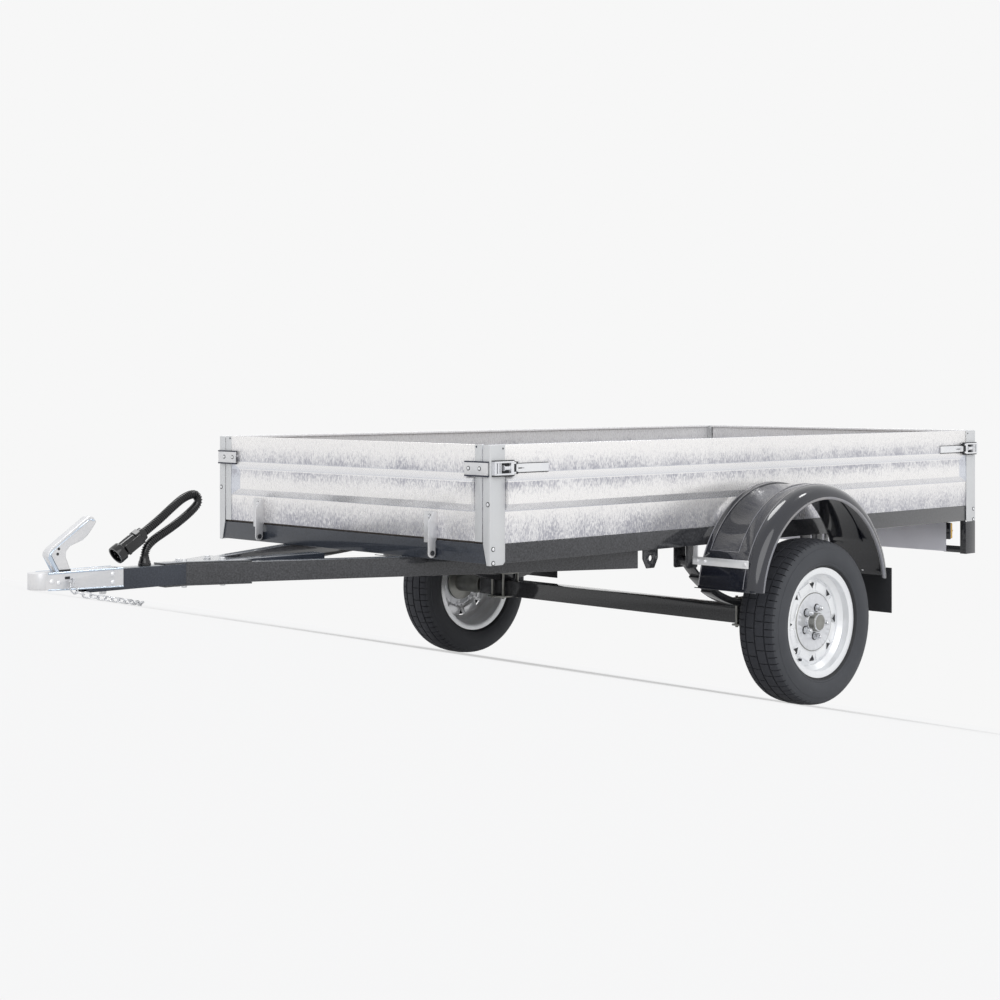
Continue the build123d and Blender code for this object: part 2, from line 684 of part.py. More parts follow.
# ---- wheels: profiles drawn as (distance from the axle, distance from the wheel's middle) ----
tyre_half = tyre_width / 2
rim_half = rim_width / 2
for side, sign in sides:
    wheel_plane = Plane(origin=(axle_x, sign * wheel_centre, wheel_z), x_dir=(1, 0, 0),
                        z_dir=(0, 0, sign))
    spin_axis = Axis((axle_x, 0, wheel_z), (0, 1, 0))
    with BuildPart() as tyre:
        with BuildSketch(wheel_plane):
            with BuildLine():
                bead = Line((rim_seat_radius, -rim_half + 8), (rim_seat_radius, rim_half - 8))
                top_wall = ThreePointArc((rim_flange_radius, rim_half - 4),
                                         (bulge_radius, tyre_half), (shoulder_radius, tread_width / 2))
                low_wall = ThreePointArc((rim_flange_radius, 4 - rim_half),
                                         (bulge_radius, -tyre_half), (shoulder_radius, -tread_width / 2))
                Line(bead @ 1, top_wall @ 0)
                Line(bead @ 0, low_wall @ 0)
                ThreePointArc(top_wall @ 1, (tyre_radius, 0), low_wall @ 1)
            make_face()
        revolve(axis=spin_axis)
    tyre.part.label = f"tyre_{side}"
    export_step(parked(tyre.part), f"parts/tyre_{side}.step")

    with BuildPart() as rim:
        with BuildSketch(wheel_plane):
            with BuildLine():
                Polyline((rim_flange_radius, rim_half), (rim_flange_radius, rim_half - 4),
                         (rim_seat_radius, rim_half - 8), (rim_seat_radius, 34),
                         (rim_well_radius, 22), (rim_well_radius, -14), (rim_seat_radius, -26),
                         (rim_seat_radius, 8 - rim_half), (rim_flange_radius, 4 - rim_half),
                         (rim_flange_radius, -rim_half), (rim_seat_radius - rim_sheet, 4 - rim_half),
                         (rim_seat_radius - rim_sheet, -28), (rim_well_radius - rim_sheet, -16),
                         (rim_well_radius - rim_sheet, 24), (rim_seat_radius - rim_sheet, 36),
                         (rim_seat_radius - rim_sheet, rim_half - 4), close=True)
            make_face()
            with BuildLine():
                Polyline((stub_radius + 18, disc_offset), (stub_radius + 18, disc_offset + rim_sheet),
                         (62, disc_offset + rim_sheet), (dome_radius - 8, disc_offset + 11),
                         (dome_radius, disc_offset + 9), (pad_inner_radius, disc_offset + 4),
                         (pad_outer_radius, disc_offset), (rim_well_radius - rim_sheet, disc_offset - 9),
                         (rim_well_radius - rim_sheet, disc_offset - 15),
                         (pad_outer_radius - 2, disc_offset - 5), (pad_inner_radius, disc_offset - 1),
                         (dome_radius, disc_offset + 4), (dome_radius - 9, disc_offset + 6),
                         (64, disc_offset), close=True)
            make_face()
        revolve(axis=spin_axis)
        with BuildSketch(flank(sign * (wheel_centre + disc_offset - pad_root))):
            with Locations((axle_x, wheel_z)):
                with PolarLocations((pad_inner_radius + pad_outer_radius) / 2, vent_count):
                    Trapezoid(2 * pad_outer_radius * tan(radians(pad_angle / 2)),
                              pad_outer_radius - pad_inner_radius, 83, rotation=90)
        extrude(amount=-sign * (pad_root + pad_rise))
        with BuildSketch(flank(sign * (wheel_centre + disc_offset - 20))):
            with Locations((axle_x, wheel_z)):
                with PolarLocations(vent_radius, vent_count, start_angle=180 / vent_count):
                    RegularPolygon(vent_size / 2, 3, rotation=180)
        extrude(amount=-sign * 50, mode=Mode.SUBTRACT)
    rim.part.label = f"rim_{side}"
    export_step(parked(rim.part), f"parts/rim_{side}.step")

    flange_face = wheel_centre + disc_offset
    bore = stub_radius + bearing_clearance
    with BuildPart() as hub:
        with BuildSketch(Plane(origin=(axle_x, 0, wheel_z), x_dir=(1, 0, 0), z_dir=(0, 0, sign))):
            with BuildLine():
                Polyline((bore, hub_cap_end - hub_length), (hub_barrel_radius, hub_cap_end - hub_length),
                         (hub_barrel_radius, flange_face - hub_flange),
                         (hub_flange_radius, flange_face - hub_flange),
                         (hub_flange_radius, flange_face), (hub_cap_radius, flange_face),
                         (hub_cap_radius, hub_cap_end - 4), (hub_cap_radius - 4, hub_cap_end),
                         (0, hub_cap_end), (0, stub_end + stub_cap_gap),
                         (bore, stub_end + stub_cap_gap), close=True)
            make_face()
        revolve(axis=spin_axis)
    hub.part.label = f"hub_{side}"
    export_step(parked(hub.part), f"parts/hub_{side}.step")

# ---- mudguards, their stays and flaps ----
arch_z = -arch_centre_drop
shoulder_y = arch_outer - arch_shoulder
panel_span = (arch_inner + panel_start, arch_inner + panel_start + (shoulder_y - arch_inner) - panel_end)
recess_floor = arch_radius - panel_recess
arch_axis = Axis((axle_x, 0, arch_z), (0, -1, 0))


def arch_plane(sign, angle):
    """The plane through the arch's axis, tipped up by this angle from straight ahead."""
    ahead = Vector(cos(radians(angle)), 0, sin(radians(angle)))
    across = Vector(0, sign, 0)
    return Plane(origin=(axle_x, 0, arch_z), x_dir=across, z_dir=across.cross(ahead))


for side, sign in sides:
    with BuildPart() as mudguard:
        with BuildSketch(arch_plane(sign, arch_end_angle)):
            with BuildLine():
                crown = Line((arch_inner, arch_radius), (shoulder_y, arch_radius))
                shoulder = CenterArc((shoulder_y, arch_radius - arch_shoulder), arch_shoulder, 0, 90)
                under = Line((arch_inner, arch_radius - arch_sheet),
                             (shoulder_y, arch_radius - arch_sheet))
                lining = CenterArc((shoulder_y, arch_radius - arch_shoulder),
                                   arch_shoulder - arch_sheet, 0, 90)
                Line(crown @ 0, under @ 0)
                Line(shoulder @ 0, lining @ 0)
            make_face()
        revolve(axis=arch_axis, revolution_arc=180 - 2 * arch_end_angle)
        with BuildSketch(arch_plane(sign, arch_end_angle)):
            with Locations((arch_outer - arch_sheet, arch_radius - arch_shoulder)):
                Circle(arch_sheet)
        revolve(axis=arch_axis, revolution_arc=180 - 2 * arch_end_angle)
        for low, high, grow, mode in (
            (recess_floor - arch_sheet, arch_radius - arch_sheet / 2, arch_sheet, Mode.ADD),
            (recess_floor, arch_radius + arch_sheet, 0.0, Mode.SUBTRACT),
        ):
            first_angle = panel_end_angle - degrees(grow / arch_radius)
            with BuildSketch(arch_plane(sign, first_angle)):
                with Locations((sum(panel_span) / 2, (low + high) / 2)):
                    Rectangle(panel_span[1] - panel_span[0] + 2 * grow, high - low)
            revolve(axis=arch_axis, revolution_arc=180 - 2 * first_angle, mode=mode)
        foot = arch_plane(sign, arch_end_angle)
        with BuildSketch(foot):
            with Locations(((arch_inner + arch_outer) / 2, arch_radius - arch_sheet + arch_foot / 2)):
                Rectangle(arch_outer - arch_inner, arch_foot)
        extrude(amount=sign * arch_sheet, dir=foot.z_dir)
    mudguard.part.label = f"mudguard_{side}"
    export_step(parked(mudguard.part), f"parts/mudguard_{side}.step")

stay_low = stay_drop + stay_height / 2
stay_touch = sqrt(arch_radius**2 - (stay_low - arch_centre_drop) ** 2)
with BuildPart() as mudguard_stays:
    for way in (1, -1):
        back = axle_x + way * stay_touch
        block((back, back + way * stay_sheet), (stay_inner, stay_outer),
              (-stay_low, -stay_low + stay_height))
        block((back, back - way * stay_bracket_sheet), (skin - stay_bracket_width, skin),
              (-stay_low, 0))
    mirror(about=Plane.XZ)
mudguard_stays.part.label = "mudguard_stays"
export_step(parked(mudguard_stays.part), "parts/mudguard_stays.step")

flap_back = arch_radius * cos(radians(arch_end_angle))
with BuildPart() as mudflaps:
    block((axle_x - flap_back, axle_x - flap_back - flap_sheet),
          (arch_inner + flap_margin, arch_outer - flap_margin), (-flap_bottom, -flap_top))
    mirror(about=Plane.XZ)
mudflaps.part.label = "mudflaps"
export_step(parked(mudflaps.part), "parts/mudflaps.step")

# ---- rear lamps ----
board_rear = -box_length + lamp_board_inset
board_front = board_rear + lamp_board_sheet
with BuildPart() as lamp_board:
    block((board_rear, board_front), (-lamp_board_half_width, lamp_board_half_width),
          (-lamp_board_drop, 0))
lamp_board.part.label = "lamp_board"
export_step(parked(lamp_board.part), "parts/lamp_board.step")

bracket_front = rear_face - post_sheet + bracket_side_length
with BuildPart() as lamp_brackets:
    block((bracket_front - bracket_side_length, bracket_front), (skin, half_width),
          (-bracket_drop, -post_drop))
    block((bracket_front - bracket_sheet, bracket_front), (half_width - bracket_front_width, skin),
          (-bracket_drop, 0))
    block((board_rear - bracket_sheet, board_rear),
          (lamp_board_half_width - bracket_strip_overlap, skin),
          (-bracket_drop, -bracket_drop + bracket_strip_height))
    mirror(about=Plane.XZ)
lamp_brackets.part.label = "lamp_brackets"
export_step(parked(lamp_brackets.part), "parts/lamp_brackets.step")

for side, sign in sides:
    with BuildPart() as tail_lamp:
        block((board_rear, board_rear - lamp_depth), (sign * (lamp_outer - lamp_width), sign * lamp_outer),
              (-lamp_low, -lamp_high))
        fillet(tail_lamp.edges().filter_by(Axis.X), 8.0)
    tail_lamp.part.label = f"tail_lamp_{side}"
    export_step(parked(tail_lamp.part), f"parts/tail_lamp_{side}.step")

# ---- lashing eyes behind the drawbar beams ----
with BuildPart() as lashing_eyes:
    with BuildSketch(flank(lashing_y)):
        with BuildLine():
            Polyline((-lashing_back, 0), (-lashing_back - lashing_length, 0),
                     (-lashing_back - lashing_length, -lashing_drop / 2),
                     (-lashing_back - lashing_length * 0.75, -lashing_drop),
                     (-lashing_back - lashing_length * 0.25, -lashing_drop),
                     (-lashing_back, -lashing_drop / 2), close=True)
        make_face()
        with Locations((-lashing_back - lashing_length / 2, -lashing_hole_drop)):
            Circle(lashing_hole_radius, mode=Mode.SUBTRACT)
    extrude(amount=lashing_sheet / 2, both=True)
    mirror(about=Plane.XZ)
lashing_eyes.part.label = "lashing_eyes"
export_step(parked(lashing_eyes.part), "parts/lashing_eyes.step")

# ---- wiring: gland on the tongue, stiff conduit in a loop, plug resting on the coupling ----
gland_x = 741.0
with BuildPart() as cable_gland:
    with BuildSketch(Plane.XY):
        with Locations((gland_x, 0)):
            Circle(gland_radius)
    extrude(amount=gland_height)
cable_gland.part.label = "cable_gland"
export_step(parked(cable_gland.part), "parts/cable_gland.step")

# route of the conduit's middle, from the gland to the back of the plug
cord_route = (
    (gland_x, 0, gland_height), (gland_x, 0, 46), (714, -1, 72), (668, -2, 95), (624, -3, 119),
    (580, -3, 148), (549, -2, 176), (562, -1, 204), (604, 0, 194), (646, 1, 166),
    (694, 1, 129), (746, 0, 95),
)
route = [Vector(*point) for point in cord_route]
runs = [(route[i + 1] - route[i]).length for i in range(len(route) - 1)]
bend_radii = []
for i in range(1, len(route) - 1):
    turn = radians((route[i] - route[i - 1]).get_angle(route[i + 1] - route[i]))
    bend_radii.append(0.45 * min(runs[i - 1], runs[i]) / (sin(turn / 2) / cos(turn / 2)))
print("conduit bend radii", [round(radius, 1) for radius in bend_radii])
with BuildPart() as cable_conduit:
    with BuildLine():
        conduit_path = FilletPolyline(*route, radius=bend_radii)
    with BuildSketch(Plane(origin=conduit_path @ 0, z_dir=conduit_path % 0)):
        Circle(cord_radius)
    sweep()
print("conduit length", round(conduit_path.length, 1),
      "volume ratio", round(cable_conduit.part.volume / (conduit_path.length * pi * cord_radius**2), 5))
cable_conduit.part.label = "cable_conduit"
export_step(parked(cable_conduit.part), "parts/cable_conduit.step")

plug_back = conduit_path @ 1
plug_way = conduit_path % 1
with BuildPart() as cable_plug:
    step_start = 0.0
    for step_end, step_radius in plug_steps:
        with BuildSketch(Plane(origin=plug_back + plug_way * step_start, z_dir=plug_way)):
            Circle(step_radius)
        extrude(amount=step_end - step_start)
        step_start = step_end
    with BuildSketch(Plane(origin=plug_back + plug_way * step_start, z_dir=plug_way)):
        Circle(plug_mouth_radius)
    extrude(amount=-plug_mouth_depth, mode=Mode.SUBTRACT)
cable_plug.part.label = "cable_plug"
export_step(parked(cable_plug.part), "parts/cable_plug.step")
print("plug mouth", plug_back + plug_way * step_start)
print("nose down", round(nose_down, 3), "floor", round(floor_z, 3))
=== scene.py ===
import bpy
import json
from contextlib import contextmanager
from math import atan2, cos, degrees, hypot, pi, radians, sin, sqrt
from mathutils import Matrix, Vector


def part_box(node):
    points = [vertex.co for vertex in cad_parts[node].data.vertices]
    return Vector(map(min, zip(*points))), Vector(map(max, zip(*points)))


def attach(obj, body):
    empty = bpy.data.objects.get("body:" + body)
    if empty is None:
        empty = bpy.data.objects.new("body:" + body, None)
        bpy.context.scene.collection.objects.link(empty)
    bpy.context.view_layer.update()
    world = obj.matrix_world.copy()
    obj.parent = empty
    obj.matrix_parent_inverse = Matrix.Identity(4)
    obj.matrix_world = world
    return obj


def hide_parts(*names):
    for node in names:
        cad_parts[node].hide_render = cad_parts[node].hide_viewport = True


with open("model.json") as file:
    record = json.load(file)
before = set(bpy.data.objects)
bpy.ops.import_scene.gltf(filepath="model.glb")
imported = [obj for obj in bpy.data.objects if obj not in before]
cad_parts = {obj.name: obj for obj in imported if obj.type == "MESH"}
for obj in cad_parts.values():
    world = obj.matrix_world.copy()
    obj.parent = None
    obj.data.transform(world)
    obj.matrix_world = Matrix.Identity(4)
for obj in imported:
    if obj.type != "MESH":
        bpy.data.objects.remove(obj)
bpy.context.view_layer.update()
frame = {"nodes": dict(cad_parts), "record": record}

# ---- the level chassis, carried to where it parks ----
# Level coordinates, metres: X = 0 at the box front, +X towards the coupling, Z = 0 under the frame.
ball = Vector((1.08, 0.0, -0.027))
bed = next(mount for mount in frame["record"]["mounts"] if mount["name"] == "load_floor")
nose_down = atan2(bed["axis"][0], bed["axis"][2])
parked = Matrix.Rotation(nose_down, 4, "Y") @ Matrix.Translation(-ball)
floor_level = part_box("tyre_left")[0].z

box_length = 2.612
half_width = 0.675
skin = 0.672
front_face = -0.003
rear_face = -2.609
axle_x = -1.3
wheel_z = -0.263
wheel_y = 0.838
disc_face = 0.026
arch_z = -0.187
sides = (("left", 1), ("right", -1))
# slot and finish of bright fasteners, and of the painted shade around them: dark rings under heads, and dark
# plates in slots and openings
bright = {"slot": "zinc"}
dark = {"slot": "black_frame", "look": "flap_rubber"}


# ---- workshop helpers ----
def clear():
    """Select nothing."""
    bpy.ops.object.select_all(action="DESELECT")


def pick(*pieces):
    """Select only these pieces, the first of them active."""
    clear()
    for piece in pieces:
        piece.select_set(True)
    bpy.context.view_layer.objects.active = pieces[0]


def remove(*pieces):
    """Delete pieces that were only patterns."""
    pick(*pieces)
    bpy.ops.object.delete()


def apply_modifier(piece, kind, **settings):
    """Put one modifier on a piece and apply it."""
    pick(piece)
    modifier = piece.modifiers.new(kind.lower(), kind)
    for key, value in settings.items():
        setattr(modifier, key, value)
    bpy.ops.object.modifier_apply(modifier=modifier.name)


@contextmanager
def editing(piece, kind=None, test=None):
    """Edit mode with all of a piece selected, or its points or edges whose place and direction pass."""
    pick(piece)
    bpy.ops.object.mode_set(mode="EDIT")
    if kind:
        bpy.ops.mesh.select_mode(type=kind)
    bpy.ops.mesh.select_all(action="DESELECT" if test else "SELECT")
    if test:
        bpy.ops.object.mode_set(mode="OBJECT")
        points = piece.data.vertices
        if kind == "VERT":
            for point in points:
                point.select = test(point.co, point.normal)
        else:
            for edge in piece.data.edges:
                start, end = (points[index].co for index in edge.vertices)
                edge.select = test((start + end) / 2, (end - start).normalized())
        bpy.ops.object.mode_set(mode="EDIT")
    yield
    bpy.ops.object.mode_set(mode="OBJECT")


def face_outwards(merge=None):
    """In edit mode, merge points that are this close and turn all faces outwards."""
    bpy.ops.mesh.select_all(action="SELECT")
    if merge:
        bpy.ops.mesh.remove_doubles(threshold=merge)
    bpy.ops.mesh.normals_make_consistent()


def smooth(piece, angle=35):
    """Shade smooth up to this angle between faces."""
    pick(piece)
    bpy.ops.object.shade_smooth_by_angle(angle=radians(angle))
    return piece


def join(pieces, name):
    """Make one piece of several."""
    pick(*pieces)
    bpy.ops.object.join()
    whole = bpy.context.object
    whole.name = name
    whole.data.name = name
    return whole


def placed(piece, place, name=None):
    """Move a piece for good by this matrix, and name it."""
    pick(piece)
    piece.matrix_world = place @ piece.matrix_world
    bpy.ops.object.transform_apply()
    if place.determinant() < 0:
        with editing(piece):
            face_outwards()
    if name:
        piece.name = name
    return piece


def copy_of(piece, place):
    """A copy with its own mesh, moved by this matrix."""
    pick(piece)
    bpy.ops.object.duplicate()
    return placed(bpy.context.object, place)


def fit(piece, body, *nodes, slot, look=None, carried=True):
    """Carry a level piece to where it parks; give it its body, the nodes it stands for, slot and finish."""
    placed(piece, parked if carried else Matrix())
    piece.data.materials.clear()
    piece.data.materials.append(finish[look or slot])
    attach(piece, body)
    if nodes:
        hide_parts(*nodes)
    return piece


def second_finish(piece, look, test):
    """Give another finish to those faces of a parked piece whose level middle and direction pass the test."""
    piece.data.materials.append(finish[look])
    index = len(piece.data.materials) - 1
    level = parked.inverted()
    for face in piece.data.polygons:
        if test(level @ face.center, face.normal):
            face.material_index = index


def faces(way, least):
    """The test for faces that look this way, by the least cosine that counts."""
    return lambda spot, direction: direction.dot(Vector(way)) > least


def block(x_span, y_span, z_span, edge=0.001, steps=2):
    """A bar or plate between these level coordinates, its edges rounded."""
    low, high = (Vector([end(span) for span in (x_span, y_span, z_span)]) for end in (min, max))
    clear()
    bpy.ops.mesh.primitive_cube_add(size=1, location=(low + high) / 2)
    piece = bpy.context.object
    piece.scale = high - low
    bpy.ops.object.transform_apply()
    if edge:
        with editing(piece):
            bpy.ops.mesh.bevel(offset=edge, segments=steps, affect="EDGES")
    return piece


def blocks(*rows):
    """Bars and plates, each row with its spans along X, Y and Z and its rounding."""
    return [block(*row) for row in rows]


def turned(steps, segments=32, closed=True):
    """A turned shape along +Z from a list of (height, radius) steps, drawn out ring by ring."""
    clear()
    height, radius = steps[0]
    bpy.ops.mesh.primitive_circle_add(vertices=segments, radius=radius, location=(0, 0, height),
                                      fill_type="NGON" if closed else "NOTHING")
    piece = bpy.context.object
    bpy.ops.object.transform_apply()
    with editing(piece, "VERT"):
        for next_height, next_radius in steps[1:]:
            bpy.ops.mesh.extrude_region_move(TRANSFORM_OT_translate={"value": (0, 0, next_height - height)})
            ratio = next_radius / radius
            bpy.ops.transform.resize(value=(ratio, ratio, 1), center_override=(0, 0, next_height))
            height, radius = next_height, next_radius
        face_outwards()
    return smooth(piece)


def swept(points, radius, segments=12):
    """A round bar drawn through these level points, turned at each one."""
    clear()
    points = [Vector(point) for point in points]
    runs = [end - start for start, end in zip(points, points[1:])]
    bpy.ops.mesh.primitive_circle_add(vertices=segments, radius=radius, fill_type="NGON")
    bar = placed(bpy.context.object, along(points[0], runs[0]))
    with editing(bar, "FACE"):
        bpy.ops.mesh.extrude_region_move(TRANSFORM_OT_translate={"value": runs[0]})
        for corner, run, next_run in zip(points[1:], runs, runs[1:]):
            axis, angle = run.rotation_difference(next_run).to_axis_angle()
            if angle > 0.0001:
                about = axis.to_track_quat("Z", "Y").to_matrix().transposed()
                bpy.ops.transform.rotate(value=-angle / 2, orient_axis="Z", center_override=corner,
                                         orient_matrix=about, orient_matrix_type="LOCAL")
            bpy.ops.mesh.extrude_region_move(TRANSFORM_OT_translate={"value": next_run})
        face_outwards()
    return smooth(bar, 60)


def along(place, direction, roll=0.0):
    """The matrix that carries a piece made along +Z to a place, facing a direction."""
    turn = Vector(direction).to_track_quat("Z", "Y").to_matrix().to_4x4()
    return Matrix.Translation(place) @ turn @ Matrix.Rotation(radians(roll), 4, "Z")


def scatter(pattern, spots, name):
    """Copies of a small pattern at (place, direction) spots, each rolled on a little, made one piece."""
    roll = 13
    copies = [copy_of(pattern, along(*spot, roll * index)) for index, spot in enumerate(spots)]
    remove(pattern)
    return join(copies, name)


def fasten(pattern, spots, name, body="chassis", look=bright):
    """Fit fasteners, or the painted shade around them (dark rings and openings), at these (place, direction)
    spots.
    """
    fit(scatter(pattern, spots, name), body, **look)


def ring_of(pattern, count, reach=0.0, turn=0.0):
    """Copies of a pattern evenly around +Z, this far out, each turned on its own middle."""
    own = Matrix.Translation((reach, 0, 0)) @ Matrix.Rotation(turn, 4, "Z")
    steps = [2 * pi * index / count for index in range(count)]
    copies = [copy_of(pattern, Matrix.Rotation(step, 4, "Z") @ own) for step in steps]
    remove(pattern)
    return copies


def both_sides(spots):
    """These (place, direction) spots on the left, then the same ones on the right."""
    return [((x, sign * y, z), (ahead, sign * across, up))
            for _, sign in sides for (x, y, z), (ahead, across, up) in spots]


def rounded(node, edge):
    """A merged copy of a CAD node with small rounded edges."""
    crease = 32
    pick(frame["nodes"][node])
    bpy.ops.object.duplicate()
    copy = bpy.context.object
    for key in [key for key in copy.keys() if key.startswith("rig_")]:
        del copy[key]
    copy.parent = None
    copy.name = node + "_finished"
    with editing(copy):
        bpy.ops.mesh.remove_doubles(threshold=0.00001)
        bpy.ops.mesh.dissolve_limited(angle_limit=radians(1.0))
        bpy.ops.mesh.normals_make_consistent()
    apply_modifier(copy, "BEVEL", width=edge, segments=2, limit_method="ANGLE", angle_limit=radians(crease))
    return smooth(copy, crease)


def spool(length, cheek, radius, neck, segments):
    """A pin or roller with a thicker cheek at each end."""
    step = 0.0006
    return turned(((0, radius), (cheek, radius), (cheek + step, neck), (length - cheek - step, neck),
                   (length - cheek, radius), (length, radius)), segments)


def shadow_ring(size):
    """A painted shadow: the dark ring under a rivet head."""
    return turned(((-0.0004, size), (0.0007, size), (0.0009, size * 0.9)), 18)


# ---- camera ----
camera_spot = Vector((3.6993, 4.5596, 0.5054))
camera_yaw = radians(226.11)
camera_clearance = 0.015
camera_lens = 66.21
camera_shift = -0.1135


def set_camera():
    """Look at the trailer from ahead of its left side, at the floor's level."""
    upright = Matrix.Rotation(pi / 2, 4, "X")
    level = Matrix.Translation(camera_spot) @ Matrix.Rotation(camera_yaw - pi / 2, 4, "Z") @ upright
    data = bpy.data.cameras.new("camera")
    data.sensor_width = 36
    data.lens = camera_lens
    data.shift_y = camera_shift
    data.clip_end = 200
    camera = bpy.data.objects.new("camera", data)
    bpy.context.scene.collection.objects.link(camera)
    camera.matrix_world = Matrix.Translation((0, 0, camera_clearance)) @ parked @ level
    bpy.context.scene.camera = camera


set_camera()


# ---- finishes ----
def feed(tree, node, inputs):
    """Link other nodes' outputs to a node's inputs, and set plain values on the rest."""
    for label, value in inputs.items():
        if isinstance(value, bpy.types.NodeSocket):
            tree.links.new(value, node.inputs[label])
        else:
            node.inputs[label].default_value = value


def add(tree, kind, inputs, **settings):
    """A new shader node with these settings and inputs."""
    node = tree.nodes.new("ShaderNode" + kind)
    for key, value in settings.items():
        setattr(node, key, value)
    feed(tree, node, inputs)
    return node


def maths(tree, operation, *values, clamp=False):
    """The result of a maths node fed with numbers or with other nodes' outputs."""
    return add(tree, "Math", dict(enumerate(values)), operation=operation, use_clamp=clamp).outputs[0]


def spread(tree, value, low, high, new_low, new_high):
    """A value carried over from one range to another."""
    inputs = {"Value": value, "From Min": low, "From Max": high, "To Min": new_low, "To Max": new_high}
    return add(tree, "MapRange", inputs).outputs["Result"]


def mixed(tree, factor, low, high):
    """Two colours mixed, each of them plain or another node's."""
    low, high = ((*colour, 1) if isinstance(colour, tuple) else colour for colour in (low, high))
    return add(tree, "Mix", {"Factor": factor, "A": low, "B": high}, data_type="RGBA").outputs["Result"]


def relief(tree, height, strength, depth):
    """The normal of a surface raised by this height."""
    return add(tree, "Bump", {"Height": height, "Strength": strength, "Distance": depth}).outputs["Normal"]


def new_group(name, values, results):
    """A node group with a vector, these values and these results: its tree, what it is given, and its end."""
    group = bpy.data.node_groups.new(name, "ShaderNodeTree")
    group.interface.new_socket(name="Vector", in_out="INPUT", socket_type="NodeSocketVector")
    for label, value in values.items():
        socket = group.interface.new_socket(name=label, in_out="INPUT", socket_type="NodeSocketFloat")
        socket.default_value = value
    for label in results:
        group.interface.new_socket(name=label, in_out="OUTPUT", socket_type="NodeSocketFloat")
    return group, group.nodes.new("NodeGroupInput").outputs, group.nodes.new("NodeGroupOutput")


def spangle_group():
    """Zinc spangle: flat crystals, more of them dark where the density is high, in loose patches."""
    fine_share = 0.72
    density_share = 0.3
    first_dark = 0.62
    hardness = 4.0
    palest = 0.4
    group, given, end = new_group("zinc spangle", {"Crystal Size": 0.006, "Patch Size": 0.1, "Density": 0.5},
                                  ("Mask", "Height"))
    vector = given["Vector"]
    crystal_scale = maths(group, "DIVIDE", 1.0, given["Crystal Size"])
    patch_scale = maths(group, "DIVIDE", 1.0, given["Patch Size"])
    crystals = add(group, "TexVoronoi", {"Vector": vector, "Scale": crystal_scale})
    single = add(group, "SeparateColor", {"Color": crystals.outputs["Color"]}).outputs["Red"]
    fine = add(group, "TexNoise", {"Vector": vector, "Scale": crystal_scale, "Detail": 3.0})
    patches = add(group, "TexNoise", {"Vector": vector, "Scale": patch_scale, "Detail": 2.0})
    gather = spread(group, patches.outputs["Fac"], 0.35, 0.65, 0.72, 1.18)
    density = maths(group, "MULTIPLY", given["Density"], gather)
    soft = maths(group, "MULTIPLY", fine.outputs["Fac"], fine_share)
    value = maths(group, "MULTIPLY_ADD", single, 1 - fine_share, soft)
    value = maths(group, "MULTIPLY_ADD", density, density_share, value)
    over = maths(group, "SUBTRACT", value, first_dark)
    flecks = maths(group, "MULTIPLY", over, hardness, clamp=True)
    depth = maths(group, "MULTIPLY_ADD", density, 1 - palest, palest)
    feed(group, end, {"Mask": maths(group, "MULTIPLY", flecks, depth, clamp=True), "Height": single})
    return group


def grain_group():
    """Fine grain of a sprayed, moulded or rolled surface, with slow colour drift."""
    group, given, end = new_group("fine grain", {"Grain Scale": 900, "Drift Scale": 6}, ("Grain", "Drift"))
    for label, detail, low, high in (("Grain", 4.0, 0.3, 0.7), ("Drift", 3.0, 0.35, 0.65)):
        noise = add(group, "TexNoise", {"Vector": given["Vector"], "Scale": given[label + " Scale"],
                                        "Detail": detail})
        feed(group, end, {label: spread(group, noise.outputs["Fac"], low, high, 0.0, 1.0)})
    return group


spangle = spangle_group()
grain = grain_group()


def start_material(name, metallic, coat=0.0, coat_roughness=0.1, coat_ior=1.5, specular=0.5):
    """A material, its node tree and shader, and coordinates turned back to the level chassis."""
    material = bpy.data.materials.new(name)
    material.use_nodes = True
    tree = material.node_tree
    shader = tree.nodes["Principled BSDF"]
    feed(tree, shader, {"Metallic": metallic, "Coat Weight": coat, "Coat Roughness": coat_roughness,
                        "Coat IOR": coat_ior, "Specular IOR Level": specular})
    spot = add(tree, "TexCoord", {}).outputs["Object"]
    level = add(tree, "Mapping", {"Vector": spot, "Rotation": (0, -nose_down, 0)})
    return material, tree, shader, level.outputs["Vector"]


def grained(name, colours, rough, metallic=0.0, grain_scale=900.0, drift_scale=6.0, bump=0.15,
            bump_depth=0.0003, grain_share=0.3, **shader_values):
    """A material whose colour drifts between two tones and whose grain shows in colour, gloss and bump."""
    material, tree, shader, vector = start_material(name, metallic, **shader_values)
    inputs = {"Vector": vector, "Grain Scale": grain_scale, "Drift Scale": drift_scale}
    surface = add(tree, "Group", inputs, node_tree=grain).outputs
    blend = add(tree, "Mix", {"Factor": grain_share, "A": surface["Drift"], "B": surface["Grain"]},
                data_type="FLOAT")
    feed(tree, shader, {"Base Color": mixed(tree, blend.outputs["Result"], *colours),
                        "Roughness": spread(tree, surface["Grain"], 0.0, 1.0, *rough),
                        "Normal": relief(tree, surface["Grain"], bump, bump_depth)})
    return material


# the sheet at each level height of a wall: height, how thickly the dark crystals lie (thicker towards the
# bottom of each band, as painted shade), and how much painted shade darkens it, most along the folds and on
# the sloped bands
spangle_and_shade_bands = (
    (0.0580, 1.00, 0.26), (0.0950, 0.86, 0.18), (0.1350, 0.40, 0.06), (0.1490, 0.14, 0.00),
    (0.1508, 0.10, 0.00), (0.1525, 0.30, 0.80), (0.1560, 0.40, 0.36), (0.1735, 0.34, 0.26),
    (0.1755, 0.10, 0.00), (0.2000, 0.30, 0.02), (0.2280, 0.86, 0.14), (0.2385, 1.00, 0.22),
    (0.2410, 0.05, 0.00), (0.2430, 0.02, 0.70), (0.2460, 0.06, 0.40), (0.2600, 0.04, 0.14),
    (0.2640, 0.02, 0.00), (0.2655, 0.60, 0.85), (0.2680, 1.00, 0.26), (0.2900, 0.72, 0.14),
    (0.3160, 0.28, 0.03), (0.3500, 0.16, 0.00),
)


